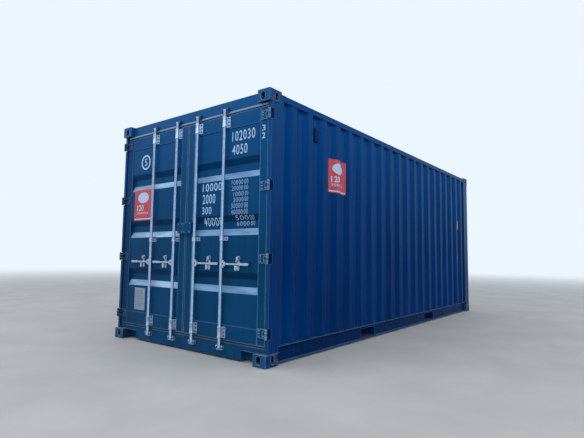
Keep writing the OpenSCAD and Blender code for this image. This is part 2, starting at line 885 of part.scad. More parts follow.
// Everything of the right leaf is drawn at -Y, and of the left leaf mirrored to +Y
module leaf_stiles() {
    t = leaf_wall;
    for (y = [[-leaf_out, -leaf_out + stile_w], [-leaf_mid - stile_w, -leaf_mid]])
        raised(leaf_low, leaf_high) difference() {
            translate([-leaf_x, y[0]]) square([leaf_t, stile_w]);
            translate([-leaf_x + t, y[0] + t]) square([leaf_t - 2 * t, stile_w - 2 * t]);
        }
}

// Cross channels open to the inside of the container
module leaf_rails() {
    t = leaf_wall;
    for (z = [leaf_low, leaf_high - cross_rail_h])
        across(-leaf_out + stile_w, -leaf_mid - stile_w) difference() {
            translate([-leaf_x, z]) square([leaf_t, cross_rail_h]);
            translate([-leaf_x + t, z + t]) square([leaf_t, cross_rail_h - 2 * t]);
        }
}

module leaf_panel() {
    z0 = leaf_low + cross_rail_h;
    z1 = leaf_high - cross_rail_h;
    mid = (z0 + z1) / 2;
    rows = [for (i = [0 : recess_n - 1]) mid + (i - (recess_n - 1) / 2) * recess_pitch];
    half = recess_flat / 2;
    path = concat([[z0, 0]],
        [for (c = rows, k = [0 : 3])
            k == 0 ? [c - half - recess_slope, 0] :
            k == 1 ? [c - half, recess_d] :
            k == 2 ? [c + half, recess_d] :
                [c + half + recess_slope, 0]],
        [[z1, 0]]);
    turned = [for (p = path) [-panel_x + p[1], p[0]]];
    behind = [for (p = turned) [p[0] + sheet_t, p[1]]];
    across(-leaf_out + stile_w, -leaf_mid - stile_w) folded(turned, behind);
}

module leaf_seal() {
    outer_y = post_in_y - seal_gap;
    mid_y = seal_seam / 2;
    d = gap_ends - seal_gap;
    x0 = -leaf_back - seal_d;
    x1 = -leaf_back - seal_behind;
    difference() {
        block([x0, x1], [-outer_y, -mid_y], [leaf_low - d, leaf_high + d]);
        block([x0 - e, x1 + e], [-leaf_out, -leaf_mid], [leaf_low, leaf_high]);
    }
}

// Plan of a -Y hinge blade: from the knuckle over the gap at the post, then flat on the stile
module blade_plan() {
    x0 = -leaf_x - blade_t;
    edge = -leaf_out;
    end = -leaf_out + blade_reach;
    inner = -post_x - move_gap;
    lean = knuckle_r / 3;
    polygon([[-pin_x - knuckle_r + e, -pin_y], [-pin_x - 2 * lean, -pin_y + 2 * lean],
        [x0 - lean, edge + lean], [x0, edge + blade_start], [x0, end - blade_bevel],
        [x0 + blade_bevel, end], [-leaf_x, end], [-leaf_x, edge + e], [inner, edge - gap_hinge / 2],
        [inner, -pin_y + pin_r], [-pin_x, -pin_y]]);
}

module hinge_blades() {
    for (z = hinge_zs) difference() {
        raised(z - blade_h / 2, z + blade_h / 2) {
            blade_plan();
            translate([-pin_x, -pin_y]) circle(knuckle_r);
        }
        block([-end_x, -leaf_x + e], [-side_y, -leaf_out + gap_hinge],
            [z - blade_h / 2 + arm_h, z + blade_h / 2 - arm_h]);
        translate([-pin_x, -pin_y, z - blade_h]) cylinder(r = pin_r + pin_gap, h = 2 * blade_h);
    }
}

// Guide around a bar with a foot plate towards the -Y side and a collar of height c at each end
module bar_guide(y, z, h, seat_x, c) {
    r0 = bar_r + guide_gap;
    r1 = r0 + guide_wall;
    difference() {
        union() {
            translate([-bar_x, y, z - h / 2]) {
                cylinder(r = r1, h = h);
                for (low = [0, h - c]) translate([0, 0, low]) cylinder(r = r1 + collar_out, h = c);
            }
            block([-bar_x, seat_x], [y - r1, y + r1], [z - h / 2, z + h / 2]);
            translate([0, y - guide_foot, z - h / 2]) along(seat_x - guide_wall, seat_x)
                round_square(guide_foot + r1 + 2 * guide_wall, h, 2 * guide_wall);
        }
        translate([-bar_x, y, z - h]) cylinder(r = r0, h = 2 * h);
    }
}

// Guides of the leaf on one side (-1 right, 1 left); their feet point the same way on both leaves
module leaf_guides(side) {
    for (y = side * bar_ys) {
        bar_guide(y, leaf_low + cross_rail_h / 2, guide_h, -leaf_x, collar_h);
        bar_guide(y, leaf_high - cross_rail_h / 2, guide_h, -leaf_x, collar_h);
        bar_guide(y, guide_mid_z, guide_mid_h, -panel_x, guide_mid_h / 4);
    }
}

// Upright of a catch from its shelf down, with a round end, drawn as (y, z)
module catch_tab_2d() {
    translate([-catch_w / 2, shelf_z - catch_tab]) square([catch_w, catch_tab]);
    translate([0, shelf_z - catch_tab]) circle(catch_w / 2);
}

// Catch on the panel: back plate, shelf under the handle, front tab and the latch's pin
module handle_catch(y) {
    back = -panel_x - catch_t;
    front = -bar_x - handle_t / 2;
    translate([0, y, 0]) {
        along(back, -panel_x) {
            catch_tab_2d();
            translate([-catch_w / 2, shelf_z]) square([catch_w, latch_rise]);
            translate([0, latch_z]) circle(latch_r + catch_t);
        }
        block([front, back], [-catch_w / 2, catch_w / 2], [shelf_z - catch_t, shelf_z]);
        along(front - catch_t, front) catch_tab_2d();
        translate([back, 0, latch_z]) rotate([0, -90, 0])
            cylinder(r = latch_pin, h = latch_off + latch_t + catch_t);
    }
}

module handle_catches(catch) {
    for (y = bar_ys) handle_catch(-y - catch);
}

// One half of the lock box, open below and towards the seam
module lock_box(reach) {
    x0 = -end_x + box_in;
    y0 = -reach;
    y1 = -box_gap / 2;
    z0 = box_z - box_h / 2;
    z1 = box_z + box_h / 2;
    block([x0, x0 + box_t], [y0, y1], [z0, z1]);
    block([x0 + box_t, -leaf_x], [y0, y0 + box_t], [z0, z1]);
    block([x0 + box_t, -leaf_x], [y0 + box_t, y1], [z1 - box_t, z1]);
}

module right_leaf_stiles() { color(paint) leaf_stiles(); }
module right_leaf_rails() { color(paint) leaf_rails(); }
module right_leaf_panel() { color(paint) leaf_panel(); }
module right_leaf_seal() { color(rubber) leaf_seal(); }
module right_hinge_blades() { color(paint) hinge_blades(); }
module right_bar_guides() { color(galv) leaf_guides(-1); }
module right_handle_catches() { color(galv) handle_catches(catch_right); }
module right_lock_box() { color(paint) lock_box(box_right); }

module left_leaf_stiles() { color(paint) mirror([0, 1, 0]) leaf_stiles(); }
module left_leaf_rails() { color(paint) mirror([0, 1, 0]) leaf_rails(); }
module left_leaf_panel() { color(paint) mirror([0, 1, 0]) leaf_panel(); }
module left_leaf_seal() { color(rubber) mirror([0, 1, 0]) leaf_seal(); }
module left_hinge_blades() { color(paint) mirror([0, 1, 0]) hinge_blades(); }
module left_bar_guides() { color(galv) leaf_guides(1); }
module left_handle_catches() { color(galv) mirror([0, 1, 0]) handle_catches(catch_left); }
module left_lock_box() { color(paint) mirror([0, 1, 0]) lock_box(box_left); }

// Cam head on the bar axis at height z, its lobe reaching into the keeper
module cam(z) {
    reach = bar_x - beam_x - run_gap;
    root = cam_tip + cam_slant;
    translate([0, 0, z - cam_h / 2]) {
        cylinder(r = cam_r, h = cam_h);
        linear_extrude(cam_h) polygon([[0, -cam_r], [reach - cam_slant, -root], [reach, -cam_tip],
            [reach, cam_tip], [reach - cam_slant, root], [0, cam_r]]);
    }
}

module lock_bar(y) {
    color(galv) translate([-bar_x, y, 0]) {
        difference() {
            translate([0, 0, cam_low_z]) cylinder(r = bar_r, h = cam_high_z - cam_low_z);
            translate([0, 0, cam_low_z + cam_h]) cylinder(r = bar_r - bar_wall,
                h = cam_high_z - cam_low_z - 2 * cam_h);
        }
        cam(cam_low_z);
        cam(cam_high_z);
    }
}

module lock_bar_1() { lock_bar(bar_y_outer); }
module lock_bar_2() { lock_bar(bar_y_inner); }
module lock_bar_3() { lock_bar(-bar_y_inner); }
module lock_bar_4() { lock_bar(-bar_y_outer); }

// Lever of a handle, drawn as (y, z): a neck, then a deeper grip with a round end
module lever_2d() {
    n = neck_h / 2;
    h = handle_h / 2;
    root = -hub_reach + h;
    knee = -handle_l + grip_l;
    tip = -handle_l + h;
    polygon([[root, -n], [knee, -n], [knee - h, -h], [tip, -h],
        [tip, h], [knee - h, h], [knee, n], [root, n]]);
    translate([tip, 0]) circle(h);
}

// Hub of a handle, drawn as (y, z): two ears on the bar with a window between them
module hub_2d() {
    h = hub_h / 2;
    n = neck_h / 2;
    ear = hub_reach - bar_r - n;
    difference() {
        polygon([[0, -h], [0, h], [-bar_r - n, h], [-hub_reach, neck_h],
            [-hub_reach, -neck_h], [-bar_r - n, -h]]);
        translate([-bar_r - n / 2 - ear / 2, -n]) square([ear / 2, neck_h]);
    }
}

// Handle with its hub on the bar at the origin, reaching towards -Y
module handle_shape() {
    difference() {
        union() {
            along(-hub_t / 2, hub_t / 2) hub_2d();
            along(-handle_t / 2, handle_t / 2) lever_2d();
        }
        translate([0, 0, -hub_h]) cylinder(r = bar_r, h = 2 * hub_h);
    }
}

module handle_right(y) {
    color(galv) translate([-bar_x, y, handle_z]) handle_shape();
}

module handle_left(y) {
    color(galv) translate([-bar_x, y, handle_z]) mirror([0, 1, 0]) handle_shape();
}

module handle_1() { handle_left(bar_y_outer); }
module handle_2() { handle_left(bar_y_inner); }
module handle_3() { handle_right(-bar_y_inner); }
module handle_4() { handle_right(-bar_y_outer); }

// Latch on the catch's pin: its tongue leans towards the bar (at +Y for side 1) and clears the
// handle as it swings up
module catch_latch(y, side) {
    x = -panel_x - catch_t - latch_off;
    reach = latch_rise - neck_h / 2 - run_gap;
    w = latch_pin;
    color(galv) translate([0, y, latch_z]) along(x - latch_t, x) difference() {
        union() {
            circle(latch_r);
            rotate(side * latch_lean) {
                translate([-w, w - reach]) square([2 * w, reach]);
                translate([0, w - reach]) circle(w);
            }
        }
        circle(latch_pin + latch_gap);
    }
}

module catch_latch_1() { catch_latch(bar_y_outer + catch_left, -1); }
module catch_latch_2() { catch_latch(bar_y_inner + catch_left, -1); }
module catch_latch_3() { catch_latch(-bar_y_inner - catch_right, 1); }
module catch_latch_4() { catch_latch(-bar_y_outer - catch_right, 1); }

bottom_corner_fittings();
top_corner_fittings();
bottom_side_rails();
top_side_rails();
door_posts();
front_posts();
door_sill();
door_header();
front_sill();
front_header();
right_side_wall();
left_side_wall();
front_wall();
roof_sheet();
front_roof_plate();
roof_corner_plates();
cross_members();
fork_pockets();
floor_boards();
floor_strip();
ventilators();
cam_keepers();
hinge_lugs();
right_leaf_stiles();
right_leaf_rails();
right_leaf_panel();
right_leaf_seal();
right_hinge_blades();
right_bar_guides();
right_handle_catches();
right_lock_box();
left_leaf_stiles();
left_leaf_rails();
left_leaf_panel();
left_leaf_seal();
left_hinge_blades();
left_bar_guides();
left_handle_catches();
left_lock_box();
lock_bar_1();
lock_bar_2();
lock_bar_3();
lock_bar_4();
handle_1();
handle_2();
handle_3();
handle_4();
catch_latch_1();
catch_latch_2();
catch_latch_3();
catch_latch_4();
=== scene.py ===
"""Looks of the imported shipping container: paint, galvanised gear, seals, fasteners and markings."""
import math

import bmesh
import bpy
from mathutils import Matrix, Vector, noise


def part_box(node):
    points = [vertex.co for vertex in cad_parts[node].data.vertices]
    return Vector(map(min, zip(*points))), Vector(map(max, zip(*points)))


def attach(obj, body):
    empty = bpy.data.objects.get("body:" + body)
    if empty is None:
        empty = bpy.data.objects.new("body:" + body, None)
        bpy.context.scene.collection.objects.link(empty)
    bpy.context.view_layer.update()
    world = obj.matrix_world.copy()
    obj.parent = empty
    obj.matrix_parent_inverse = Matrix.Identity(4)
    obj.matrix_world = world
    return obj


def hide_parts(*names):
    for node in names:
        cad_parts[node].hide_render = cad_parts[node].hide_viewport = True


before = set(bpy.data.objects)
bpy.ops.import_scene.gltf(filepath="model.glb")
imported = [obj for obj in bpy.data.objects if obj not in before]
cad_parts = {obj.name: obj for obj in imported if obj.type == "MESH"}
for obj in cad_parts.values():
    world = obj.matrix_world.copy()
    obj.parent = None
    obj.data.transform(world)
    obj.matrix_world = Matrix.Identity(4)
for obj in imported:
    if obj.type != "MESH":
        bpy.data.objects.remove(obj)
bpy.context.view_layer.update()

# Sizes of the sheets, in metres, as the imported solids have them
SHEET = 0.002
SIDE_INNER, SIDE_OUTER, SIDE_SLOPE = 0.070, 0.072, 0.068
FRONT_OUTER, FRONT_INNER, FRONT_SLOPE = 0.110, 0.104, 0.018
ROOF_FLAT, ROOF_SLOPE, ROOF_RISE = 0.091, 0.0135, 0.020
ROOF_RIBS, ROOF_HALF = 26, 1.152
RECESS_FLAT, RECESS_SLOPE, RECESS_DEPTH, RECESS_PITCH = 0.072, 0.066, 0.034, 0.567
RECESSES = 3

# Radii of the sheets' bends, the steps of a bend, and the most that it takes of a straight run
WALL_BEND, END_BEND, LEAF_BEND, ROOF_BEND = 0.014, 0.010, 0.012, 0.007
BEND_STEPS, BEND_SHARE = 4, 0.45

# How far the sheets swell in and out, how fast that changes over a metre, and the share of a
# sheet's width over which it dies out at an edge
WALL_SWELL, END_SWELL, LEAF_SWELL, ROOF_SAG = 0.0022, 0.002, 0.0026, 0.0012
SWELL_ACROSS, SWELL_ALONG, CALM_SHARE = 2.1, 1.7, 0.125
SAG_ACROSS, SAG_LAYER = 1.3, 4.0

# Longest face along a sheet's path, and the numbers of faces across it
SPACING = 0.03
WALL_ROWS, LEAF_ROWS, ROOF_ROWS, RAMP_ROWS = 26, 30, 12, 6
LEAF_BEAD_ROWS = 45

# Degrees from which an edge is sharp
SHARP, SHEET_SHARP, BEAD_SHARP, GEAR_SHARP = 35, 25, 60, 30

# Places of the door gear, in metres
BARS = {1: 0.590, 2: 0.172, 3: -0.172, 4: -0.590}
BAR_X = -3.003
GUIDE_ZS, GUIDE_MID_Z = (0.256, 2.364), 1.175
HANDLE_Z = 0.925
CAM_ZS = (0.108, 2.487)
HINGE_LOW, HINGE_REACH, HINGES = 0.300, 2.050, 4
HINGE_ZS = [HINGE_LOW + i * HINGE_REACH / (HINGES - 1) for i in range(HINGES)]

# Thin films lie this far over the paint, and over each other
STICKER = 0.0004

LEAVES = {"right": -1, "left": 1}
OUTWARD, UPWARD = (-1, 0, 0), (0, 0, 1)


# Meshes

def in_scene(name, data):
    """A new object of the scene"""
    thing = bpy.data.objects.new(name, data)
    bpy.context.scene.collection.objects.link(thing)
    return thing


def finished(name, bm, body, finish, smooth):
    """The bmesh as a named piece that rides on a body"""
    bmesh.ops.recalc_face_normals(bm, faces=bm.faces)
    mesh = bpy.data.meshes.new(name)
    bm.to_mesh(mesh)
    bm.free()
    piece = in_scene(name, mesh)
    for one in finish if isinstance(finish, (list, tuple)) else [finish]:
        mesh.materials.append(one)
    if smooth:
        mesh.shade_smooth()
        mesh.set_sharp_from_angle(angle=math.radians(smooth))
    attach(piece, body)
    return piece


def rounded_edges(piece, width):
    """Bevels the piece's sharp edges"""
    bevel = piece.modifiers.new("edges", "BEVEL")
    bevel.width = width
    bevel.segments = 2
    bevel.limit_method = "ANGLE"
    bevel.angle_limit = math.radians(SHARP)
    bevel.harden_normals = True


def bent(points, radius, spacing=None):
    """The path with its corners as bends, and its straight runs split to the spacing"""
    path = [points[0]]
    for before, corner, after in zip(points, points[1:], points[2:]):
        u, v = before - corner, after - corner
        turn = math.pi - u.angle(v)
        cut = min(radius * math.tan(turn / 2), BEND_SHARE * min(u.length, v.length))
        start, end = corner + u.normalized() * cut, corner + v.normalized() * cut
        for i in range(BEND_STEPS + 1):
            t = i / BEND_STEPS
            path.append(start * (1 - t) ** 2 + corner * (2 * t * (1 - t)) + end * t ** 2)
    path.append(points[-1])
    if spacing is None:
        return path
    split = [path[0]]
    for a, b in zip(path, path[1:]):
        n = max(1, math.ceil((b - a).length / spacing))
        split += [a + (b - a) * (i / n) for i in range(1, n + 1)]
    return split


def path_normals(path):
    """Unit normals of a 2-D path, to its left"""
    normals = []
    for i in range(len(path)):
        d = path[min(i + 1, len(path) - 1)] - path[max(i - 1, 0)]
        normals.append(Vector((-d.y, d.x)).normalized())
    return normals


def closed_sheet(front, back):
    """A solid between two grids of points; the faces of the second grid take the second finish"""
    bm = bmesh.new()
    near, far = [[[bm.verts.new(p) for p in row] for row in grid] for grid in (front, back)]
    across = len(front[0]) - 1
    for k, skin in enumerate((near, far)):
        for a, b in zip(skin, skin[1:]):
            for i in range(across):
                bm.faces.new((a[i], a[i + 1], b[i + 1], b[i])).material_index = k
    for k in (0, -1):
        for i in range(across):
            bm.faces.new((near[k][i], near[k][i + 1], far[k][i + 1], far[k][i]))
        for j in range(len(front) - 1):
            bm.faces.new((near[j][k], near[j + 1][k], far[j + 1][k], far[j][k]))
    return bm


class Sheet:
    """A bent sheet swept between two levels, which swells a little in and out. Its path is a
    row of (u, v) places with v inwards, and place turns (u, v, level) into a point."""

    def __init__(self, path, low, high, place, wave):
        self.path, self.low, self.high, self.place, self.wave = path, low, high, place, wave
        self.normals = path_normals(path)

    def point(self, p, n, level, depth):
        edge = min(level - self.low, self.high - level) / (self.high - self.low)
        where = Vector((SWELL_ACROSS * p.x, SWELL_ACROSS * p.y, SWELL_ALONG * level))
        swell = self.wave * min(1.0, edge / CALM_SHARE) * noise.noise(where)
        q = p + n * (depth + swell)
        return Vector(self.place(q.x, q.y, level))

    def on(self, u, level, lift):
        """The point at a height over the outer face, at path place u"""
        i = next((k for k, p in enumerate(self.path[1:]) if p.x >= u), len(self.path) - 2)
        a, b = self.path[i], self.path[i + 1]
        t = (u - a.x) / (b.x - a.x)
        return self.point(a.lerp(b, t), self.normals[i].lerp(self.normals[i + 1], t), level, -lift)

    def solid(self, rows):
        levels = steps_between(self.low, self.high, rows)
        return closed_sheet(*[[[self.point(p, n, level, depth) for p, n in zip(self.path, self.normals)]
                               for level in levels] for depth in (0.0, SHEET)])


def steps_between(low, high, n):
    return [low + (high - low) * i / n for i in range(n + 1)]


def zigzag(count, start, flat_a, slope, flat_b, level):
    """Corners of a wave of that many pitches, from a flat to a flat"""
    pitch = flat_a + flat_b + 2 * slope
    points = [Vector((start, 0.0))]
    for i in range(count):
        s = start + i * pitch
        points += [Vector((s + flat_a, 0.0)), Vector((s + flat_a + slope, level)),
                   Vector((s + flat_a + slope + flat_b, level)), Vector((s + pitch, 0.0))]
    points.append(Vector((start + count * pitch + flat_a, 0.0)))
    return points


def turned_to(direction, at):
    """Matrix that puts local +Z along a direction at a point"""
    turn = Vector(direction).to_track_quat("Z", "Y").to_matrix().to_4x4()
    return Matrix.Translation(at) @ turn


def disc_in(bm, at, direction, radius, height, sides, top=None):
    """Adds a short cylinder or cone that stands on a point"""
    lift = Matrix.Translation((0, 0, height / 2))
    bmesh.ops.create_cone(bm, cap_ends=True, segments=sides, radius1=radius,
                          radius2=radius if top is None else top, depth=height,
                          matrix=turned_to(direction, at) @ lift)


def bolt_in(bm, at, size):
    """Adds a hexagon head of that radius on a washer; it looks out of the doors"""
    washer = 0.25 * size
    disc_in(bm, at, OUTWARD, 1.5 * size, washer, 20)
    disc_in(bm, Vector(at) + Vector(OUTWARD) * washer, OUTWARD, size, 0.9 * size, 6, 0.96 * size)


def rivet_in(bm, at, radius):
    """Adds a domed head that looks out of the doors"""
    flatter = Matrix.Diagonal((1, 1, 0.55, 1))
    bmesh.ops.create_uvsphere(bm, u_segments=14, v_segments=8, radius=radius,
                              matrix=turned_to(OUTWARD, at) @ flatter)


def circle(radius, sides):
    """Places around the origin as (x, y)"""
    turns = [2 * math.pi * k / sides for k in range(sides)]
    return [(radius * math.cos(t), radius * math.sin(t)) for t in turns]


def strip_in(bm, ring, other):
    """Adds faces between two closed rings of vertices"""
    for a, b, c, d in zip(ring, ring[1:] + ring[:1], other[1:] + other[:1], other):
        bm.faces.new((a, b, c, d))


def tube_in(bm, path, radius):
    """Adds a slightly uneven round bead along a path of points"""
    uneven, grain, sides = 0.18, 60, 6
    rings = []
    for i, p in enumerate(path):
        d = Vector(path[min(i + 1, len(path) - 1)]) - Vector(path[max(i - 1, 0)])
        m = turned_to(d, p)
        r = radius * (1 + uneven * noise.noise(Vector(p) * grain))
        rings.append([bm.verts.new(m @ Vector((x, y, 0))) for x, y in circle(r, sides)])
    for a, b in zip(rings, rings[1:]):
        strip_in(bm, a, b)
    bm.faces.new(rings[0])
    bm.faces.new(rings[-1])


def run(start, end, spacing=0.02):
    """Places along a straight line"""
    start, end = Vector(start), Vector(end)
    n = max(1, round((end - start).length / spacing))
    return [start.lerp(end, i / n) for i in range(n + 1)]


# Materials

class Finish:
    """A material, with short ways to add nodes to it"""

    def __init__(self, name):
        self.made = bpy.data.materials.new(name)
        self.made.use_nodes = True
        self.tree = self.made.node_tree
        self.shader = self.tree.nodes["Principled BSDF"]
        coords = self.add("ShaderNodeTexCoord")
        self.place = coords.outputs["Object"]
        self.facing = coords.outputs["Normal"]

    def add(self, kind, inputs=(), **settings):
        node = self.tree.nodes.new(kind)
        for key, value in settings.items():
            setattr(node, key, value)
        for key, value in dict(inputs).items():
            self.put(node.inputs[key], value)
        return node

    def put(self, socket, value):
        if isinstance(value, bpy.types.NodeSocket):
            self.tree.links.new(value, socket)
        else:
            socket.default_value = value

    def set(self, **values):
        """Shader sockets by name, with _ for a space"""
        for key, value in values.items():
            self.put(self.shader.inputs[key.replace("_", " ")], value)

    def stretched(self, x, y, z):
        return self.add("ShaderNodeMapping", {"Vector": self.place, "Scale": (x, y, z)}).outputs[0]

    def noise(self, scale, detail=3.0, rough=0.5, where=None, warp=0.0):
        return self.add("ShaderNodeTexNoise", {"Vector": where or self.place, "Scale": scale,
                                               "Detail": detail, "Roughness": rough,
                                               "Distortion": warp}).outputs["Fac"]

    def cells(self, scale):
        return self.add("ShaderNodeTexVoronoi", {"Vector": self.place, "Scale": scale}).outputs["Color"]

    def fit(self, value, low, high, to_low=0.0, to_high=1.0):
        return self.add("ShaderNodeMapRange", {"Value": value, "From Min": low, "From Max": high,
                                               "To Min": to_low, "To Max": to_high}).outputs[0]

    def calc(self, operation, a, b=0.0):
        node = self.add("ShaderNodeMath", operation=operation)
        self.put(node.inputs[0], a)
        self.put(node.inputs[1], b)
        return node.outputs[0]

    def times(self, a, b):
        return self.calc("MULTIPLY", a, b)

    def mix(self, share, a, b):
        """Colour a, with b over it by the share"""
        node = self.add("ShaderNodeMix", data_type="RGBA")
        self.put(node.inputs[0], share)
        self.put(node.inputs[6], a)
        self.put(node.inputs[7], b)
        return node.outputs[2]

    def part(self, vector, axis):
        return self.add("ShaderNodeSeparateXYZ", {"Vector": vector}).outputs[axis]

    def sharp_edges(self, width):
        """1 on sharp edges, from the angle between the true and the rounded normal"""
        none, full = 0.995, 0.90
        soft = self.add("ShaderNodeBevel", {"Radius": width}, samples=4).outputs[0]
        hard = self.add("ShaderNodeNewGeometry").outputs["Normal"]
        dot = self.add("ShaderNodeVectorMath", {0: soft, 1: hard}, operation="DOT_PRODUCT").outputs["Value"]
        return self.fit(dot, none, full)

    def bump(self, *layers):
        """Bumps on each other, each as (height, distance in metres, strength)"""
        below = None
        for height, distance, strength in layers:
            node = self.add("ShaderNodeBump", {"Height": height, "Distance": distance,
                                               "Strength": strength})
            if below:
                self.put(node.inputs["Normal"], below)
            below = node.outputs[0]
        self.put(self.shader.inputs["Normal"], below)


def rgb(red, green, blue):
    """Linear colour of an sRGB one given in 0 to 255"""
    def linear(c):
        c /= 255
        return c / 12.92 if c <= 0.04045 else ((c + 0.055) / 1.055) ** 2.4
    return (linear(red), linear(green), linear(blue), 1.0)


def shades(tone, *factors):
    """The tone made darker or lighter"""
    return [tuple(min(1.0, c * k) for c in tone[:3]) + (1.0,) for k in factors]


# Tones of the coatings; the doors' tone is the walls' navy made lighter and greener, partly as chalking and
# partly as painted light on the door end
DOOR_TONE, WALL_TONE = rgb(8, 60, 98), rgb(1, 44, 98)
ZINC_TONE = (0.31, 0.46, 0.68, 1.0)

# Tones of what lies over a paint: rain streaks, dust, chips and rust, and painted light and shade, namely
# the sky's reflection high up and, with chalk, on upward slopes, shade under downward faces and on the
# left leaf's side, and highlights on edges and on the header's raised strip
SKY_REFLECTION_TONE, STREAK_TONE, PAINTED_SHADE_TONE = rgb(12, 92, 160), rgb(30, 94, 148), rgb(1, 22, 48)
CHALK_SHEEN_TONE, LEFT_CHALK_SHEEN_TONE = rgb(136, 172, 212), rgb(178, 208, 236)
LOW_DUST_TONE, DUST_TONE = rgb(122, 134, 152), rgb(98, 124, 148)
EDGE_HIGHLIGHT_TONE, CHIP_TONE, STRIP_HIGHLIGHT_TONE = rgb(74, 128, 184), rgb(142, 166, 190), rgb(146, 168, 196)
LEFT_SHADE_TONE, RUST_TONE = rgb(1, 26, 56), rgb(108, 68, 56)

# Tint of what a paint mirrors
BLUE_GLEAM, WHITE_GLEAM = (0.12, 0.50, 1.0, 1.0), (1.0, 1.0, 1.0, 1.0)

# The header's raised strip carries a pale painted highlight in front of this X, and fully so that much
# further out
STRIP_X, HIGHLIGHT_DEPTH = -2.974, 0.002

# Rusty patches on the fittings, as their middle and radius
RUST_SPOTS = ((-2.976, -1.219, 2.503, 0.030), (-2.930, -1.219, 2.484, 0.020),
              (-2.874, -1.219, 0.036, 0.030), (-3.029, 1.205, 0.100, 0.020))


def clouded(f, tone, cloud):
    """The tone in darker and lighter clouds"""
    return f.mix(cloud, *shades(tone, 0.84, 1.18))


def rain_streaks_and_painted_light(f, colour, height, up):
    """A painted sky reflection that makes it bluer high up, rain streaks, and painted shade where it faces
    down
    """
    streak = f.noise(5, 4, 0.65, f.stretched(9, 9, 0.35))
    # Painted reflection of the sky: bluer from 1.1 m up
    colour = f.mix(f.fit(height, 1.1, 2.5, 0.0, 0.34), colour, SKY_REFLECTION_TONE)
    colour = f.mix(f.fit(streak, 0.50, 0.80, 0.0, 0.18), colour, STREAK_TONE)
    # Painted shade on faces that look down
    return f.mix(f.fit(up, -0.15, -0.50, 0.0, 0.55), colour, PAINTED_SHADE_TONE)


def chalk_and_sky_sheen(f, colour, up, share, tone):
    """Chalk and a painted sky reflection on upward slopes, in slanting streaks, and fainter towards the
    left leaf's outer side, where painted shade lies over it
    """
    slanted = f.add("ShaderNodeMapping", {"Vector": f.place, "Rotation": (0.9, 0, 0),
                                          "Scale": (1, 1.6, 9)}).outputs[0]
    glint_streaks = f.fit(f.noise(1.7, 2, 0.5, slanted, warp=0.2), 0.38, 0.62, 0.62, 1.0)
    # Painted shade: the reflection fades towards the left leaf's outer side
    shaded = f.fit(f.part(f.place, "Y"), 0.45, 1.05, 1.0, 0.55)
    chalk_sheen = f.times(f.times(f.fit(up, 0.18, 0.42), glint_streaks), shaded)
    return f.mix(f.times(chalk_sheen, share), colour, tone)


def dust_share(f, height, up, fine, dusty):
    """How far dust covers ledges and, more thinly, the lowest part"""
    ledge = f.times(f.fit(up, 0.55, 0.95, 0.0, dusty), f.fit(fine, 0.35, 0.65, 0.5, 1.0))
    low = f.times(f.fit(height, 0.40, 0.02, 0.0, 0.14 * dusty), f.fit(fine, 0.46, 0.72))
    return f.calc("MINIMUM", f.calc("ADD", ledge, low), 1.0)


def rust_share(f, rusty):
    """How far rust covers specks, edges and the patches"""
    spots = f.noise(26, 4, 0.6, warp=0.8)
    where = f.times(f.fit(spots, 0.56, 0.64), f.fit(f.noise(3.3, 2), 0.50, 0.62))
    edge = f.times(f.sharp_edges(0.006), f.fit(spots, 0.50, 0.62))
    rust = f.times(f.calc("MAXIMUM", where, edge), rusty)
    for *at, radius in RUST_SPOTS:
        far = f.add("ShaderNodeVectorMath", {0: f.place, 1: at}, operation="DISTANCE").outputs["Value"]
        frayed = f.calc("ADD", far, f.fit(spots, 0.3, 0.7, -radius / 2, radius / 2))
        rust = f.calc("MAXIMUM", rust, f.fit(frayed, radius, 0.5 * radius, 0.0, 0.75))
    return rust


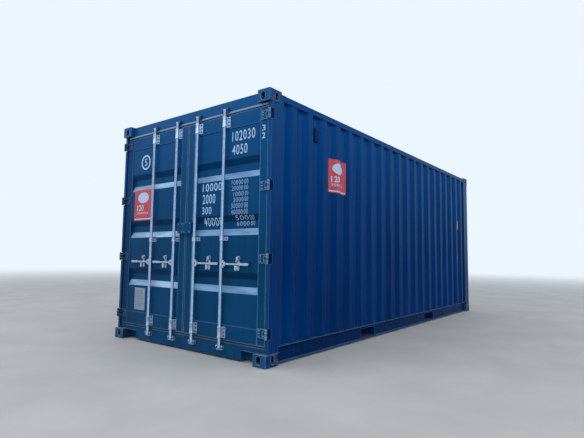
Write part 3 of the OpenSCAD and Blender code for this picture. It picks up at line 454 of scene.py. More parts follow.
def paint(name, tone, dusty=0.5, rusty=0.0, sky=0.0, chipped=0.0, end_tone=None, proud=None,
          lit=0.0, rim=0.005, chalk_sheen_tone=CHALK_SHEEN_TONE, gleam=BLUE_GLEAM, shine=0.06, left_shade=0.0):
    """Satin coating: faint orange peel, rain streaks, dust that settles low and on ledges, a painted sky
    reflection that makes it bluer high up, and painted shade where it faces down. sky is how far upward
    slopes carry chalk and a painted sky reflection, chipped how far edges are worn and rim how wide, lit
    how far edges carry a painted highlight of the sky, end_tone a lighter tone that paints faces looking
    along X as more lit, proud the X from which a raised strip carries a pale painted highlight, and the
    last one how far the outer part of the left leaf's side is darkened by painted shade."""
    f = Finish(name)
    cloud = f.fit(f.noise(0.7, 2), 0.3, 0.7)
    fine = f.noise(14, 5, 0.6)
    height, up = f.part(f.place, "Z"), f.part(f.facing, "Z")
    colour = clouded(f, tone, cloud)
    # Painted light: faces that look along X take a lighter tone, as if lit more than the sides
    if end_tone:
        along = f.fit(f.calc("ABSOLUTE", f.part(f.facing, "X")), 0.3, 0.9)
        colour = f.mix(along, colour, clouded(f, end_tone, cloud))
    colour = rain_streaks_and_painted_light(f, colour, height, up)
    # Chalk and a painted sky reflection on upward slopes
    if sky:
        colour = chalk_and_sky_sheen(f, colour, up, sky, chalk_sheen_tone)
    # Painted highlight on the header's raised strip, pale like a scuff
    if proud is not None:
        strip_highlight = f.fit(f.part(f.place, "X"), proud, proud - HIGHLIGHT_DEPTH, 0.0, 0.7)
        colour = f.mix(strip_highlight, colour, STRIP_HIGHLIGHT_TONE)
    dust = dust_share(f, height, up, fine, dusty)
    colour = f.mix(dust, colour, f.mix(f.fit(height, 0.3, 1.4), LOW_DUST_TONE, DUST_TONE))
    # Painted highlight of the sky along edges
    if lit:
        colour = f.mix(f.times(f.sharp_edges(0.012), lit), colour, EDGE_HIGHLIGHT_TONE)
    if chipped:
        flakes = f.fit(fine, 0.35, 0.6, 0.4 * chipped, chipped)
        colour = f.mix(f.times(f.sharp_edges(rim), flakes), colour, CHIP_TONE)
    # Painted shade on the outer part of the left leaf's side
    if left_shade:
        colour = f.mix(f.fit(f.part(f.place, "Y"), 0.80, 1.15, 0.0, left_shade), colour, LEFT_SHADE_TONE)
    if rusty:
        rust = rust_share(f, rusty)
        colour = f.mix(rust, colour, RUST_TONE)
        dust = f.calc("MAXIMUM", dust, rust)
    gloss = f.fit(f.noise(7, 4, 0.6, f.stretched(3, 3, 0.6)), 0.3, 0.7, 0.26, 0.38)
    f.set(Base_Color=colour, Specular_IOR_Level=shine, Specular_Tint=gleam,
          Roughness=f.calc("ADD", gloss, f.times(dust, 0.4)))
    f.bump((f.noise(1.6, 2, 0.5), 0.02, 0.10), (f.noise(420, 2), 0.0004, 0.12))
    return f.made


def galvanised(name, tone, spangle=70, worn=0.25, painted_over=None):
    """Hot-dip zinc: crystals of slightly different grey, dull runs and a few stains. Over the
    height painted_over it is coated with the door's paint instead."""
    dull_tone, stain_tone = rgb(146, 166, 190), rgb(84, 84, 84)
    f = Finish(name)
    crystal = f.part(f.cells(spangle), "X")
    cloud = f.noise(11, 4, 0.6, f.stretched(1, 1, 0.25))
    colour = f.mix(f.fit(crystal, 0.0, 1.0, 0.15, 0.85), *shades(tone, 0.74, 1.12))
    colour = f.mix(f.fit(cloud, 0.5, 0.75, 0.0, worn), colour, dull_tone)
    stains = f.times(f.fit(f.noise(35, 5, 0.65), 0.58, 0.78), worn)
    colour = f.mix(stains, colour, stain_tone)
    metal = f.fit(cloud, 0.45, 0.8, 0.90, 0.66)
    rough = f.fit(crystal, 0.0, 1.0, 0.30, 0.46)
    if painted_over is not None:
        coated = f.calc("GREATER_THAN", f.part(f.place, "Z"), painted_over)
        colour = f.mix(coated, colour, DOOR_TONE)
        metal = f.times(metal, f.calc("SUBTRACT", 1.0, coated))
    f.set(Base_Color=colour, Metallic=metal, Roughness=rough)
    f.bump((crystal, 0.0005, 0.12), (f.noise(90, 4, 0.6), 0.0008, 0.20))
    return f.made


def rubber(name, tone):
    """Matt black rubber with a paler bloom, thickest along the sill and towards the top"""
    bloom_tone = rgb(126, 124, 124)
    f = Finish(name)
    height = f.part(f.place, "Z")
    along_sill, upwards = f.fit(height, 0.26, 0.20, 0.0, 0.8), f.fit(height, 1.5, 2.3, 0.0, 0.7)
    bloom = f.fit(f.noise(18, 5, 0.65), 0.4, 0.75, 0.0, 0.5)
    bloom = f.calc("MINIMUM", f.calc("ADD", bloom, f.calc("MAXIMUM", along_sill, upwards)), 1.0)
    f.set(Base_Color=f.mix(bloom, tone, bloom_tone), Roughness=f.fit(bloom, 0.0, 0.5, 0.55, 0.8))
    f.bump((f.noise(240, 3), 0.0006, 0.3))
    return f.made


def plywood(name):
    """Sealed floor boards: long grain, darker wear where loads slide"""
    dark_grain, light_grain = rgb(104, 60, 36), rgb(168, 112, 68)
    pore_tone, scuff_tone = rgb(62, 36, 22), rgb(120, 100, 84)
    f = Finish(name)
    grain = f.noise(6, 6, 0.6, f.stretched(1.2, 26, 26), warp=0.4)
    pores = f.noise(40, 3, 0.6, f.stretched(1.0, 14, 14))
    scuff = f.noise(2.2, 5, 0.7, f.stretched(0.5, 2, 2))
    colour = f.mix(f.fit(grain, 0.32, 0.70), dark_grain, light_grain)
    colour = f.mix(f.fit(pores, 0.55, 0.72, 0.0, 0.55), colour, pore_tone)
    colour = f.mix(f.fit(scuff, 0.50, 0.75, 0.0, 0.45), colour, scuff_tone)
    f.set(Base_Color=colour, Roughness=f.fit(scuff, 0.3, 0.7, 0.34, 0.62), Specular_IOR_Level=0.4)
    f.bump((grain, 0.001, 0.25), (pores, 0.0008, 0.25))
    return f.made


def flat_print(name, tone, rough=0.42, fade=0.25):
    """Vinyl or stencil paint, a little scratched and dusty"""
    scratch_tone = rgb(90, 100, 112)
    f = Finish(name)
    wear = f.times(f.fit(f.noise(60, 5, 0.7), 0.52, 0.72), fade)
    f.set(Base_Color=f.mix(wear, tone, scratch_tone),
          Roughness=f.fit(f.noise(30, 3), 0.3, 0.7, rough - 0.06, rough + 0.1))
    f.bump((f.noise(300, 2), 0.0003, 0.15))
    return f.made


def moulded_plastic(name, tone):
    """Matt dark plastic, bleached a little in clouds"""
    bleached_tone = rgb(50, 78, 112)
    f = Finish(name)
    fade = f.fit(f.noise(9, 4, 0.6), 0.35, 0.75, 0.0, 0.15)
    f.set(Base_Color=f.mix(fade, tone, bleached_tone), Specular_IOR_Level=0.08,
          Roughness=f.fit(f.noise(120, 2), 0.3, 0.7, 0.5, 0.62))
    f.bump((f.noise(500, 2), 0.0003, 0.3))
    return f.made


# Doors: painted highlights on edges, and painted shade on the left leaf's outer side
door_paint = paint("door_paint", DOOR_TONE, chipped=0.25, lit=0.35, left_shade=0.4)
# Stiles: chipped edges, strong painted highlights on edges, and painted shade on the left leaf's outer side
stile_paint = paint("stile_paint", DOOR_TONE, chipped=0.7, lit=0.9, rim=0.007, left_shade=0.55)
# Panels: chalk and a painted sky reflection on upward slopes, paler and stronger on the left leaf
panel_paints = {"right": paint("right_panel_paint", DOOR_TONE, 0.1, sky=0.85),
                "left": paint("left_panel_paint", DOOR_TONE, 0.1, sky=0.95, chalk_sheen_tone=LEFT_CHALK_SHEEN_TONE)}
# Hinges: wide pale chipped edges that also serve as painted highlights, and painted shade on the left
# leaf's side
hinge_paint = paint("hinge_paint", DOOR_TONE, chipped=2.2, rim=0.012, left_shade=0.75)
weld_paint = paint("weld_paint", rgb(22, 80, 124), 0.9)
# Header: a painted highlight on its raised strip
header_paint = paint("header_paint", rgb(18, 68, 108), chipped=0.2, proud=STRIP_X)
sill_paint = paint("sill_paint", DOOR_TONE, 0.6, chipped=0.2)
wall_paint = paint("wall_paint", WALL_TONE, 0.4, shine=0.03)
# Bottom rails: a painted highlight along the top edge
rail_paint = paint("rail_paint", rgb(1, 34, 80), 0.2, lit=0.8, shine=0.03)
# Posts: end faces in the doors' lighter tone as painted light, and faint painted highlights on edges
post_paint = paint("post_paint", WALL_TONE, chipped=0.2, end_tone=DOOR_TONE, lit=0.2, shine=0.05)
inner_paint = paint("inner_paint", rgb(150, 158, 160), gleam=WHITE_GLEAM)
# Fittings: rust and chips, and end faces in a lighter tone as painted light
fitting_paint = paint("fitting_paint", rgb(6, 48, 92), 0.7, rusty=0.4, chipped=1.1, rim=0.009,
                      end_tone=rgb(28, 76, 112))
zinc = galvanised("zinc", ZINC_TONE)
bright_zinc = galvanised("bright_zinc", (0.47, 0.58, 0.72, 1.0), worn=0.35)
keeper_zinc = galvanised("keeper_zinc", (0.45, 0.56, 0.70, 1.0), 80, 0.4, painted_over=1.3)
bolt_steel = galvanised("bolt_steel", (0.15, 0.18, 0.23, 1.0), 120, 0.4)
black_rubber = rubber("black_rubber", rgb(44, 36, 38))
boards = plywood("boards")
vent_plastic = moulded_plastic("vent_plastic", rgb(3, 36, 82))
white_print = flat_print("white_print", rgb(166, 196, 228))
red_print = flat_print("red_print", rgb(186, 42, 52), 0.38, 0.12)
yellow_print = flat_print("yellow_print", rgb(214, 180, 40))
plate_metal = flat_print("plate_metal", rgb(132, 146, 164), 0.36, 0.35)
plate_ink = flat_print("plate_ink", rgb(66, 82, 104), 0.5, 0.4)

# Finishes of the frame's nodes, apart from those in the walls' paint, and of a leaf's nodes, apart
# from those in the doors' paint
FRAME_FINISH = {
    "bottom_corner_fittings": fitting_paint, "top_corner_fittings": fitting_paint,
    "bottom_side_rails": rail_paint, "door_posts": post_paint, "front_posts": post_paint,
    "door_sill": sill_paint, "door_header": header_paint, "floor_boards": boards,
    "ventilators": vent_plastic, "cam_keepers": keeper_zinc, "hinge_lugs": hinge_paint,
}
LEAF_FINISH = {"leaf_stiles": stile_paint, "leaf_seal": black_rubber, "bar_guides": bright_zinc,
               "handle_catches": bright_zinc, "hinge_blades": hinge_paint}

# Radii of the nodes' rounded edges, and the gap below which their vertices are joined
EDGE_RADIUS = {"bottom_corner_fittings": 0.004, "top_corner_fittings": 0.004, "floor_boards": 0.002,
               "bottom_side_rails": 0.0015, "cross_members": 0.0, "fork_pockets": 0.0}
PLAIN_EDGE_RADIUS = 0.0012
TOUCHING = 1e-5


def finish_of(node):
    """The finish of a CAD node, from its name"""
    side, _, part = node.partition("_")
    if side in LEAVES and part != "side_wall":
        return LEAF_FINISH.get(part, door_paint)
    if node.startswith("lock_bar"):
        return zinc
    if node.startswith(("handle", "catch_latch")):
        return bright_zinc
    return FRAME_FINISH.get(node, wall_paint)


def dress_nodes():
    """Gives each CAD node its finish and rounds its edges"""
    for name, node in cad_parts.items():
        node.data.materials.clear()
        node.data.materials.append(finish_of(name))
        width = EDGE_RADIUS.get(name, PLAIN_EDGE_RADIUS)
        if width:
            weld = node.modifiers.new("weld", "WELD")
            weld.merge_threshold = TOUCHING
            rounded_edges(node, width)


# Sheets with rounded bends

def steel_sheet(name, solid, body, outer):
    """A closed sheet as a piece: pale inside, or in the doors' paint on a leaf"""
    inner = inner_paint if body == "root" else door_paint
    return finished(name, solid, body, [outer, inner], SHEET_SHARP)


def side_wall(name):
    side = LEAVES[name]
    low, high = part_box(name + "_side_wall")
    pitch = SIDE_INNER + SIDE_OUTER + 2 * SIDE_SLOPE
    count = round((high.x - low.x - SIDE_INNER) / pitch)
    depth = high.y - low.y - SHEET
    face = min(abs(low.y), abs(high.y)) + SHEET
    corners = zigzag(count, low.x, SIDE_INNER, SIDE_SLOPE, SIDE_OUTER, -depth)
    sheet = Sheet(bent(corners, WALL_BEND, SPACING), low.z, high.z,
                  lambda u, v, z: (u, side * (face - v), z), WALL_SWELL)
    wall = steel_sheet(name + "_wall_sheet", sheet.solid(WALL_ROWS), "root", wall_paint)
    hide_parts(name + "_side_wall")
    return sheet


def front_wall():
    low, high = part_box("front_wall")
    pitch = FRONT_OUTER + FRONT_INNER + 2 * FRONT_SLOPE
    count = round((high.y - low.y - FRONT_OUTER) / pitch)
    depth = high.x - low.x - SHEET
    corners = zigzag(count, low.y, FRONT_OUTER, FRONT_SLOPE, FRONT_INNER, depth)
    sheet = Sheet(bent(corners, END_BEND, SPACING), low.z, high.z,
                  lambda u, v, z: (high.x - v, u, z), END_SWELL)
    wall = steel_sheet("front_wall_sheet", sheet.solid(WALL_ROWS), "root", wall_paint)
    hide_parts("front_wall")


def leaf_profile():
    """Corners of the leaf panel as (height, depth) from its lower edge up"""
    low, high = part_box("right_leaf_panel")
    middle = (low.z + high.z) / 2
    half = RECESS_FLAT / 2
    points = [Vector((low.z, 0.0))]
    for i in range(RECESSES):
        c = middle + (i - (RECESSES - 1) / 2) * RECESS_PITCH
        points += [Vector((c - half - RECESS_SLOPE, 0.0)), Vector((c - half, RECESS_DEPTH)),
                   Vector((c + half, RECESS_DEPTH)), Vector((c + half + RECESS_SLOPE, 0.0))]
    return points + [Vector((high.z, 0.0))]


def leaf_panel(name):
    low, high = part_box(name + "_leaf_panel")
    sheet = Sheet(bent(leaf_profile(), LEAF_BEND, SPACING), low.y, high.y,
                  lambda u, v, y: (low.x + v, y, u), LEAF_SWELL)
    panel = steel_sheet(name + "_panel_sheet", sheet.solid(LEAF_ROWS), name + "_leaf", panel_paints[name])
    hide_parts(name + "_leaf_panel")
    return sheet


def roof():
    """The die-stamped roof: ribs across it that run out in slopes before the rails"""
    low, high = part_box("roof_sheet")
    pitch = 2 * (ROOF_FLAT + ROOF_SLOPE)
    start = -(ROOF_RIBS * pitch + ROOF_FLAT) / 2
    corners = zigzag(ROOF_RIBS, start, ROOF_FLAT, ROOF_SLOPE, ROOF_FLAT, ROOF_RISE)
    corners[0].x = low.x
    corners[-1].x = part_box("top_side_rails")[1].x
    path = bent(corners, ROOF_BEND)
    ramp = 2 * ROOF_RISE
    side = [ROOF_HALF - ramp * (1 - i / RAMP_ROWS) for i in range(RAMP_ROWS + 1)] + [high.y]
    rows = [-y for y in side[::-1]] + steps_between(-side[0], side[0], ROOF_ROWS)[1:-1] + side

    def skin(lift):
        grid = []
        for y in rows:
            most = max(0.0, (ROOF_HALF - abs(y)) / 2)
            calm = min(1.0, most / ROOF_RISE)
            row = []
            for p in path:
                sag = ROOF_SAG * noise.noise(Vector((SAG_ACROSS * p.x, SAG_ACROSS * y, SAG_LAYER)))
                row.append((p.x, y, low.z + lift + min(p.y, most) + calm * (sag - ROOF_SAG)))
            grid.append(row)
        return grid

    ribbed = steel_sheet("roof_ribbed_sheet", closed_sheet(skin(SHEET), skin(0.0)), "root", wall_paint)
    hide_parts("roof_sheet")


# Seals: a rounded double lip around each leaf

# Lip's section as (share of the depth, share of the reach from the leaf's edge)
LIP = ((0.10, 0.0), (0.0, 0.45), (0.02, 0.85), (0.08, 1.0), (0.18, 0.9), (0.28, 0.45), (0.40, 0.35),
       (0.50, 0.75), (0.58, 0.95), (0.66, 0.75), (0.74, 0.35), (0.90, 0.30), (1.0, 0.55), (0.98, 0.0))


def seals():
    for name in LEAVES:
        low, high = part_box(name + "_leaf_seal")
        inner_low, inner_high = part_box(name + "_leaf_stiles")
        bm = bmesh.new()
        rings = []
        for depth, reach in LIP:
            x = low.x + depth * (high.x - low.x)
            y0, z0 = inner_low.yz + reach * (low.yz - inner_low.yz)
            y1, z1 = inner_high.yz + reach * (high.yz - inner_high.yz)
            rings.append([bm.verts.new(p) for p in ((x, y0, z0), (x, y1, z0), (x, y1, z1), (x, y0, z1))])
        for a, b in zip(rings, rings[1:] + rings[:1]):
            strip_in(bm, a, b)
        seal = finished(name + "_lip_seal", bm, name + "_leaf", black_rubber, BEAD_SHARP)
        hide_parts(name + "_leaf_seal")


# Weld beads and fasteners, in metres

# Radii of the beads on the frame, around a leaf's panel and beside a keeper
FRAME_BEAD, LEAF_BEAD, KEEPER_BEAD = 0.0028, 0.0022, 0.0025

# Depth of a post, and the places of the beads beside a keeper from its middle
POST_DEPTH = 0.165
KEEPER_X, KEEPER_HALF_W, KEEPER_HALF_H, KEEPER_SPACING = -2.9735, 0.0425, 0.018, 0.006

# Bolts through the guides' feet, from their bar and from the foot's middle height
BOLT_R, FOOT, FOOT_BOLT_RISE = 0.0065, 0.004, 0.036
FOOT_BOLT_ACROSS, MID_BOLT_ACROSS = -0.042, -0.040

# Domed heads on the hinge blades and in the lock box's corners
BLADE_RIVET_R, BLADE, BLADE_RIVET_Y, BLADE_RIVET_RISE = 0.0085, 0.012, 1.100, 0.026
BOX_RIVET_R, BOX_RIVET_INSET = 0.0055, 0.016

# Distance of a handle's pin from its bar, and the pin, its head and its nut as (rise, radius,
# height, sides, upper radius)
HUB_ACROSS = 0.0315
PIN_PARTS = ((-0.034, 0.0045, 0.068, 16, 0.0045), (0.029, 0.0085, 0.006, 20, 0.0065),
             (-0.036, 0.0085, 0.007, 6, 0.0085))

# Screws in the floor, how far in the first row is, and where they are in a row
SCREW_R, SCREW_TOP_R, SCREW_H, SCREW_SINK = 0.006, 0.005, 0.0008, 0.0002
SCREW_MARGIN, SCREW_ROWS = 0.06, 15
SCREW_YS = (0.10, 0.32, 0.54, 0.76, 0.98, 1.12)


def root_welds(walls):
    """Beads along the side walls' lower and upper edges, on the posts' ends and beside the keepers"""
    bm = bmesh.new()
    for sheet in walls.values():
        for z in (sheet.low + FRAME_BEAD / 2, sheet.high - FRAME_BEAD / 2):
            tube_in(bm, [sheet.on(p.x, z, 0.0) for p in sheet.path[1:-1]], FRAME_BEAD)
    end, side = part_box("door_posts")[0].x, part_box("door_posts")[1].y
    post_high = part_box("top_corner_fittings")[0].z
    post_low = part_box("bottom_corner_fittings")[1].z
    for s in (-1, 1):
        for z in (post_low + FRAME_BEAD / 2, post_high - FRAME_BEAD / 2):
            for e in (1, -1):
                start, stop = e * (end + FRAME_BEAD), e * (end + POST_DEPTH)
                tube_in(bm, run((start, s * side, z), (stop, s * side, z)), FRAME_BEAD)
    for y in BARS.values():
        for z in CAM_ZS:
            for k in (-1, 1):
                across = y + k * KEEPER_HALF_W
                path = run((KEEPER_X, across, z - KEEPER_HALF_H), (KEEPER_X, across, z + KEEPER_HALF_H),
                           KEEPER_SPACING)
                tube_in(bm, path, KEEPER_BEAD)
    finished("frame_weld_beads", bm, "root", weld_paint, BEAD_SHARP)


def leaf_welds(name, sheet):
    """Beads around the leaf's panel"""
    bm = bmesh.new()
    for y in (sheet.low + LEAF_BEAD / 2, sheet.high - LEAF_BEAD / 2):
        tube_in(bm, [sheet.on(p.x, y, 0.0) for p in sheet.path[1:-1]], LEAF_BEAD)
    for z in (sheet.path[0].x + LEAF_BEAD, sheet.path[-1].x - LEAF_BEAD):
        ys = steps_between(sheet.low, sheet.high, LEAF_BEAD_ROWS)
        tube_in(bm, [sheet.on(z, y, 0.0) for y in ys], LEAF_BEAD)
    finished(name + "_leaf_weld_beads", bm, name + "_leaf", weld_paint, BEAD_SHARP)


def guide_bolts(name):
    """Bolts of the guides' feet"""
    frame_x, panel_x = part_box(name + "_leaf_stiles")[0].x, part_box(name + "_leaf_panel")[0].x
    bm = bmesh.new()
    for y in BARS.values():
        if y * LEAVES[name] < 0:
            continue
        for z in GUIDE_ZS:
            for rise in (-FOOT_BOLT_RISE, 0.0, FOOT_BOLT_RISE):
                bolt_in(bm, (frame_x - FOOT, y + FOOT_BOLT_ACROSS, z + rise), BOLT_R)
        bolt_in(bm, (panel_x - FOOT, y + MID_BOLT_ACROSS, GUIDE_MID_Z), BOLT_R)
    finished(name + "_guide_bolts", bm, name + "_leaf", bolt_steel, GEAR_SHARP)


def blade_bolts(name):
    """Domed heads on the hinge blades and the lock box"""
    frame_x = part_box(name + "_leaf_stiles")[0].x
    bm = bmesh.new()
    for z in HINGE_ZS:
        for rise in (-BLADE_RIVET_RISE, 0.0, BLADE_RIVET_RISE):
            rivet_in(bm, (frame_x - BLADE, LEAVES[name] * BLADE_RIVET_Y, z + rise), BLADE_RIVET_R)
    low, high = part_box(name + "_lock_box")
    for z in (low.z + BOX_RIVET_INSET, high.z - BOX_RIVET_INSET):
        for y in (low.y + BOX_RIVET_INSET, high.y - BOX_RIVET_INSET):
            rivet_in(bm, (low.x, y, z), BOX_RIVET_R)
    finished(name + "_blade_bolts", bm, name + "_leaf", hinge_paint, GEAR_SHARP)


def handle_pins():
    """The pin through the two ears of each handle's hub, with its head and nut"""
    for bar, y in BARS.items():
        bm = bmesh.new()
        across = y + math.copysign(HUB_ACROSS, y)
        for rise, radius, height, sides, top in PIN_PARTS:
            disc_in(bm, (BAR_X, across, HANDLE_Z + rise), UPWARD, radius, height, sides, top)
        finished("handle_pin_%d" % bar, bm, "bar_%d" % bar, zinc, GEAR_SHARP)


def floor_screws():
    """Countersunk heads in rows over the cross members"""
    low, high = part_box("floor_boards")
    bm = bmesh.new()
    for x in steps_between(low.x + SCREW_MARGIN, high.x - SCREW_MARGIN, SCREW_ROWS):
        for y in SCREW_YS:
            for s in (-1, 1):
                disc_in(bm, (x, s * y, high.z - SCREW_SINK), UPWARD, SCREW_R, SCREW_H, 10, SCREW_TOP_R)
    finished("floor_screw_heads", bm, "root", zinc, GEAR_SHARP)


# Markings: thin films in plain numbers and stripes, laid on the bent sheets. Places on them are
# (across, up), and a box is (left, low, right, high). On the leaves, across counts from the middle
# of the doorway towards the right leaf, and on the right wall it is X.

def digits_in(bm, text, left, low, width, height, weight=0.02):
    """Adds the digits as flat faces that fill a box"""
    curve = bpy.data.curves.new("digits", "FONT")
    curve.body = text
    curve.resolution_u = 5
    curve.offset = weight
    curve.space_character = 1.15
    thing = in_scene("digits", curve)
    mesh = bpy.data.meshes.new_from_object(thing)
    bpy.data.objects.remove(thing)
    bpy.data.curves.remove(curve)
    xs, ys = [v.co.x for v in mesh.vertices], [v.co.y for v in mesh.vertices]
    scale = Vector((width / (max(xs) - min(xs)), height / (max(ys) - min(ys)), 1.0))
    for v in mesh.vertices:
        v.co = Vector((left + (v.co.x - min(xs)) * scale.x, low + (v.co.y - min(ys)) * scale.y, 0.0))
    bm.from_mesh(mesh)
    bpy.data.meshes.remove(mesh)


def rect_in(bm, left, low, right, high):
    """Adds a box as one face"""
    corners = ((left, low), (right, low), (right, high), (left, high))
    bm.faces.new([bm.verts.new((x, y, 0)) for x, y in corners])


def inset(box, by):
    """A box that lies inside another by a distance"""
    left, low, right, high = box
    return left + by, low + by, right - by, high - by


def frame_in(bm, left, low, right, high, line):
    """Adds the outline of a box as four strips"""
    rect_in(bm, left, low, right, low + line)
    rect_in(bm, left, high - line, right, high)
    rect_in(bm, left, low + line, left + line, high - line)
    rect_in(bm, right - line, low + line, right, high - line)


def ring_in(bm, at, outer, inner, sides=48):
    """Adds a flat ring around a place"""
    rings = [[bm.verts.new((at[0] + x, at[1] + y, 0)) for x, y in circle(r, sides)]
             for r in (outer, inner)]
    strip_in(bm, *rings)


def on_leaf(sheet):
    """The surface of a leaf: its place for (across, up, lift), and where films on it bend"""
    bends = [-y for y in steps_between(sheet.low, sheet.high, LEAF_ROWS)], [p.x for p in sheet.path]
    return lambda across, up, lift: sheet.on(up, -across, lift), bends


def on_wall(sheet):
    """The surface of a side wall, in the same way"""
    return sheet.on, ([p.x for p in sheet.path], steps_between(sheet.low, sheet.high, WALL_ROWS))


def laid(name, bm, body, finish, surface, layer=1):
    """A flat mesh of (across, up) places as a thin film on a surface, cut where that bends"""
    place, bends = surface
    for axis, places in enumerate(bends):
        spread = [v.co[axis] for v in bm.verts]
        for at in places:
            if min(spread) < at < max(spread):
                point, normal = Vector(), Vector()
                point[axis], normal[axis] = at, 1.0
                bmesh.ops.bisect_plane(bm, geom=bm.verts[:] + bm.edges[:] + bm.faces[:],
                                       plane_co=point, plane_no=normal)
    for v in bm.verts:
        v.co = place(v.co.x, v.co.y, layer * STICKER)
    piece = finished(name, bm, body, finish, 0)
    film = piece.modifiers.new("film", "SOLIDIFY")
    film.thickness = STICKER / 2
    film.offset = 0


# Rows on the right leaf as (digits, right edge, left edge, low, high)
BIG_ROWS = (("102030", 0.985, 0.671, 2.154, 2.257), ("4050", 0.884, 0.674, 2.016, 2.117),
            ("10000", 0.540, 0.247, 1.673, 1.757), ("2000", 0.445, 0.250, 1.544, 1.643),
            ("300", 0.390, 0.245, 1.434, 1.512), ("40000", 0.532, 0.250, 1.310, 1.396))
BIG_WEIGHT = 0.008

# The same with two lines of digits, each with its unit, and their shares of a row's height and width
SMALL_ROWS = (("10000", "20000", 0.905, 0.683, 1.654, 1.757), ("1000", "2000", 0.908, 0.708, 1.539, 1.639),
              ("30000", "40000", 0.907, 0.680, 1.414, 1.525), ("500", "6000", 0.976, 0.731, 1.302, 1.402))
SMALL_WEIGHT, UNIT = -0.014, "00"
LINE_SHARE, DIGITS_SHARE, UNIT_SHARE = 0.43, 0.70, 0.22

# Digits on the right leaf's stile as (digit, low), and their left edge and size
STILE_DIGITS, STILE_LEFT, STILE_DIGIT_W, STILE_DIGIT_H = (("3", 2.200), ("2", 2.126)), 1.082, 0.042, 0.058

# Ring on the left leaf, with its digit as (text, left, low, width, height, weight)
RING_AT, RING_OUTER, RING_INNER = (-0.799, 2.120), 0.090, 0.070
RING_DIGIT = ("5", -0.824, 2.078, 0.050, 0.084, 0.01)

# Placards, and what they show in shares of their width and height
LEAF_PLACARD, WALL_PLACARD = (-1.0, 1.415, -0.645, 1.792), (-1.965, 1.73, -1.61, 2.11)
OVAL_AT, OVAL_REACH, OVAL_SIDES = (0.50, 0.730), (0.31, 0.170), 40
PLACARD_LINES = (("120", 0.16, 0.31, 0.36, 0.19, 0.03), ("3040506", 0.16, 0.20, 0.64, 0.075, 0.02))
FOOT_MARGIN, FOOT_TOP = 0.03, 0.065

# Metal plate on the left leaf, with its ruled lines and rivets
PLATE, PLATE_LAYER = (-0.923, 0.356, -0.715, 0.612), 2
PLATE_BORDER, PLATE_BORDER_LINE, PLATE_ROWS = 0.012, 0.0016, 12
ROW_INSET, ROW_STEP, ROW_H = 0.018, 0.03, 0.0035
COLUMNS, COLUMN_LINE, COLUMN_FOOT, COLUMN_HEAD = (-0.845, -0.790), 0.0014, 0.05, 0.04
PLATE_RIVET_R, PLATE_RIVET_INSET = 0.0035, 0.007

# Columns on the right wall as (digits, left, first digit's low, pitch, width, height)
WALL_COLUMNS = (("102030", 2.395, 2.055, 0.058, 0.026, 0.046),
                ("1000020000300", 2.168, 1.690, 0.060, 0.026, 0.046),
                ("12", 2.490, 1.010, 0.080, 0.024, 0.060))

# Yellow label on the right wall, with its border and bars
LABEL, LABEL_BORDER, LABEL_BORDER_LINE = (2.433, 1.55, 2.537, 1.72), 0.008, 0.004
LABEL_BAR_ZS, LABEL_BAR_INSET, LABEL_BAR_H = (1.60, 1.63, 1.66), 0.022, 0.008


def leaf_numbers(surface):
    """Rows of made-up numbers on the right leaf"""
    bm = bmesh.new()
    for text, right, left, low, high in BIG_ROWS:
        digits_in(bm, text, left, low, right - left, high - low, BIG_WEIGHT)
    for first, second, right, left, low, high in SMALL_ROWS:
        line = LINE_SHARE * (high - low)
        digits, unit = DIGITS_SHARE * (right - left), UNIT_SHARE * (right - left)
        digits_in(bm, first, left, high - line, digits, line, SMALL_WEIGHT)
        digits_in(bm, second, left, low, digits, line, SMALL_WEIGHT)
        for z in (low, high - line):
            digits_in(bm, UNIT, right - unit, z, unit, line, SMALL_WEIGHT)
    laid("right_leaf_numbers", bm, "right_leaf", white_print, surface)


def leaf_ring(surface):
    """A ring with one digit"""
    bm = bmesh.new()
    ring_in(bm, RING_AT, RING_OUTER, RING_INNER)
    digits_in(bm, *RING_DIGIT)
    laid("left_leaf_ring", bm, "left_leaf", white_print, surface)


def placard(name, body, box, surface):
    """A red placard with a plain white oval, two lines of digits and a foot stripe"""
    left, low, right, high = box
    w, h = right - left, high - low
    bm = bmesh.new()
    rect_in(bm, *box)
    laid(name, bm, body, red_print, surface)
    bm = bmesh.new()
    bm.faces.new([bm.verts.new((left + w * (OVAL_AT[0] + OVAL_REACH[0] * x),
                                low + h * (OVAL_AT[1] + OVAL_REACH[1] * y), 0))
                  for x, y in circle(1.0, OVAL_SIDES)])
    for text, x, y, width, height, weight in PLACARD_LINES:
        digits_in(bm, text, left + x * w, low + y * h, width * w, height * h, weight)
    rect_in(bm, left + FOOT_MARGIN * w, low + FOOT_MARGIN * h, right - FOOT_MARGIN * w, low + FOOT_TOP * h)
    laid(name + "_stripes", bm, body, white_print, surface, 2)


def stile_numbers():
    """Two digits on the flat stile of the right leaf"""
    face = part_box("right_leaf_stiles")[0].x
    bm = bmesh.new()
    for digit, low in STILE_DIGITS:
        digits_in(bm, digit, STILE_LEFT, low, STILE_DIGIT_W, STILE_DIGIT_H)
    surface = (lambda across, up, lift: Vector((face - lift, -across, up))), ([], [])
    laid("right_stile_numbers", bm, "right_leaf", white_print, surface)


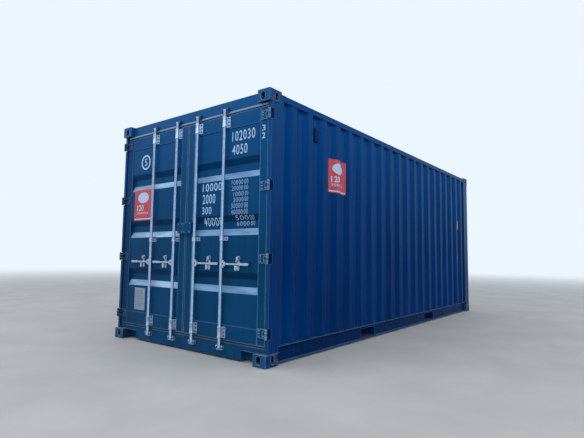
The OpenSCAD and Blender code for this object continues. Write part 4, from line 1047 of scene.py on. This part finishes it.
def data_plate(surface):
    """Metal plate with ruled lines, riveted on the left leaf"""
    left, low, right, high = PLATE
    bm = bmesh.new()
    rect_in(bm, *PLATE)
    laid("data_plate", bm, "left_leaf", plate_metal, surface, PLATE_LAYER)
    bm = bmesh.new()
    frame_in(bm, *inset(PLATE, PLATE_BORDER), PLATE_BORDER_LINE)
    for i in range(1, PLATE_ROWS):
        z = low + PLATE_BORDER + i * (high - low - 2 * PLATE_BORDER) / PLATE_ROWS
        rect_in(bm, left + ROW_INSET, z, right - ROW_INSET - ROW_STEP * (i % 3), z + ROW_H)
    for across in COLUMNS:
        rect_in(bm, across, low + COLUMN_FOOT, across + COLUMN_LINE, high - COLUMN_HEAD)
    laid("data_plate_lines", bm, "left_leaf", plate_ink, surface, PLATE_LAYER + 1)
    bm = bmesh.new()
    place = surface[0]
    first, lowest, last, highest = inset(PLATE, PLATE_RIVET_INSET)
    for across in (first, last):
        for z in (lowest, highest):
            rivet_in(bm, place(across, z, PLATE_LAYER * STICKER), PLATE_RIVET_R)
    finished("data_plate_rivets", bm, "left_leaf", zinc, GEAR_SHARP)


def door_markings(sheets):
    right, left = on_leaf(sheets["right"]), on_leaf(sheets["left"])
    leaf_numbers(right)
    leaf_ring(left)
    placard("left_leaf_placard", "left_leaf", LEAF_PLACARD, left)
    stile_numbers()
    data_plate(left)


def wall_numbers(surface):
    """Columns of made-up digits on the right wall"""
    bm = bmesh.new()
    for text, left, top, pitch, width, height in WALL_COLUMNS:
        for i, digit in enumerate(text):
            digits_in(bm, digit, left, top - pitch * i, width, height)
    laid("side_numbers", bm, "root", white_print, surface)


def yellow_label(surface):
    """A label with a border and bars"""
    left, _, right, _ = LABEL
    bm = bmesh.new()
    rect_in(bm, *LABEL)
    laid("side_yellow_label", bm, "root", yellow_print, surface)
    bm = bmesh.new()
    frame_in(bm, *inset(LABEL, LABEL_BORDER), LABEL_BORDER_LINE)
    for z in LABEL_BAR_ZS:
        rect_in(bm, left + LABEL_BAR_INSET, z, right - LABEL_BAR_INSET, z + LABEL_BAR_H)
    laid("side_yellow_label_lines", bm, "root", plate_ink, surface, 2)


def side_markings(sheet):
    surface = on_wall(sheet)
    placard("side_placard", "root", WALL_PLACARD, surface)
    wall_numbers(surface)
    yellow_label(surface)


# Camera, light and floor

CAMERA_AT = (-6.114, -3.885, 1.007)
CAMERA_YAW, CAMERA_PITCH, CAMERA_ROLL = math.radians(37.757), math.radians(4.786), math.radians(0.76)
FOCAL_PX, IMAGE_W, SENSOR, CLIP_END = 447.32, 584, 36.0, 200

# Lamps as (name, place, aim, size, watts)
LAMPS = (("sky_box", (-9.0, 5.0, 8.0), (-2.9, 0.0, 1.2), (10.0, 8.0), 330),
         ("front_fill", (-10.0, -6.0, 5.0), (-2.0, -1.0, 1.0), (8.0, 6.0), 260),
         ("side_fill", (3.0, -11.0, 7.0), (0.5, -1.2, 1.2), (9.0, 5.0), 260))
LAMP_TINT, AMBIENT = (0.92, 0.96, 1.0), 0.8

BACKDROP = (0.84, 0.92, 1.0, 1.0)
FLOOR_TONES = (0.46, 0.445, 0.43, 1), (0.52, 0.505, 0.49, 1)
FLOOR_REACH, FADE_FROM, FADE_TO = 80, 7.0, 30.0


def make_camera():
    data = bpy.data.cameras.new("camera")
    camera = in_scene("camera", data)
    data.sensor_width = SENSOR
    data.lens = FOCAL_PX * SENSOR / IMAGE_W
    data.clip_end = CLIP_END
    yaw, pitch, roll = CAMERA_YAW, CAMERA_PITCH, CAMERA_ROLL
    ahead = Vector((math.cos(yaw) * math.cos(pitch), math.sin(yaw) * math.cos(pitch), math.sin(pitch)))
    right = Vector((math.sin(yaw), -math.cos(yaw), 0.0))
    up = right.cross(ahead)
    right, up = right * math.cos(roll) + up * math.sin(roll), up * math.cos(roll) - right * math.sin(roll)
    camera.matrix_world = Matrix.Translation(CAMERA_AT) @ Matrix((right, up, -ahead)).transposed().to_4x4()
    bpy.context.scene.camera = camera


def area_lamp(name, at, aim, size, power):
    data = bpy.data.lights.new(name, "AREA")
    data.shape = "RECTANGLE"
    data.size, data.size_y = size
    data.energy = power
    data.color = LAMP_TINT
    lamp = in_scene(name, data)
    lamp.matrix_world = turned_to(Vector(at) - Vector(aim), at)


def make_world():
    """Plain pale surroundings: seen and mirrored at full strength, and lighting at a lower one"""
    world = bpy.data.worlds.new("studio")
    bpy.context.scene.world = world
    world.use_nodes = True
    tree = world.node_tree
    background = tree.nodes["Background"]
    path = tree.nodes.new("ShaderNodeLightPath")
    seen = path.outputs["Is Camera Ray"]
    for other in ("Is Glossy Ray", "Is Transmission Ray"):
        larger = tree.nodes.new("ShaderNodeMath")
        larger.operation = "MAXIMUM"
        tree.links.new(seen, larger.inputs[0])
        tree.links.new(path.outputs[other], larger.inputs[1])
        seen = larger.outputs[0]
    strength = tree.nodes.new("ShaderNodeMapRange")
    strength.inputs["To Min"].default_value = AMBIENT
    tree.links.new(seen, strength.inputs["Value"])
    tree.links.new(strength.outputs[0], background.inputs["Strength"])
    background.inputs["Color"].default_value = BACKDROP


def make_floor():
    """Pale floor that keeps the shadow and fades into the backdrop far out"""
    bm = bmesh.new()
    bmesh.ops.create_grid(bm, x_segments=1, y_segments=1, size=FLOOR_REACH)
    mesh = bpy.data.meshes.new("floor")
    bm.to_mesh(mesh)
    bm.free()
    floor = in_scene("floor", mesh)
    f = Finish("pale_floor")
    grain = f.fit(f.noise(1.2, 6, 0.6), 0.35, 0.65)
    f.set(Base_Color=f.mix(grain, *FLOOR_TONES), Roughness=0.85, Specular_IOR_Level=0.2)
    away = f.add("ShaderNodeVectorMath", {0: f.place}, operation="LENGTH").outputs["Value"]
    faded = f.add("ShaderNodeMapRange", {"Value": away, "From Min": FADE_FROM, "From Max": FADE_TO},
                  interpolation_type="SMOOTHSTEP").outputs[0]
    camera_only = f.times(faded, f.add("ShaderNodeLightPath").outputs["Is Camera Ray"])
    far = f.add("ShaderNodeEmission", {"Color": BACKDROP, "Strength": 1.0})
    both = f.add("ShaderNodeMixShader", {0: camera_only})
    f.tree.links.new(f.shader.outputs[0], both.inputs[1])
    f.tree.links.new(far.outputs[0], both.inputs[2])
    f.tree.links.new(both.outputs[0], f.tree.nodes["Material Output"].inputs["Surface"])
    mesh.materials.append(f.made)


def make_studio():
    bpy.context.scene.view_settings.view_transform = "Standard"
    make_world()
    make_floor()
    for lamp in LAMPS:
        area_lamp(*lamp)


dress_nodes()
walls = {name: side_wall(name) for name in LEAVES}
front_wall()
roof()
panels = {name: leaf_panel(name) for name in LEAVES}
seals()
root_welds(walls)
for leaf, panel in panels.items():
    leaf_welds(leaf, panel)
    guide_bolts(leaf)
    blade_bolts(leaf)
handle_pins()
floor_screws()
door_markings(panels)
side_markings(walls["right"])
make_camera()
make_studio()
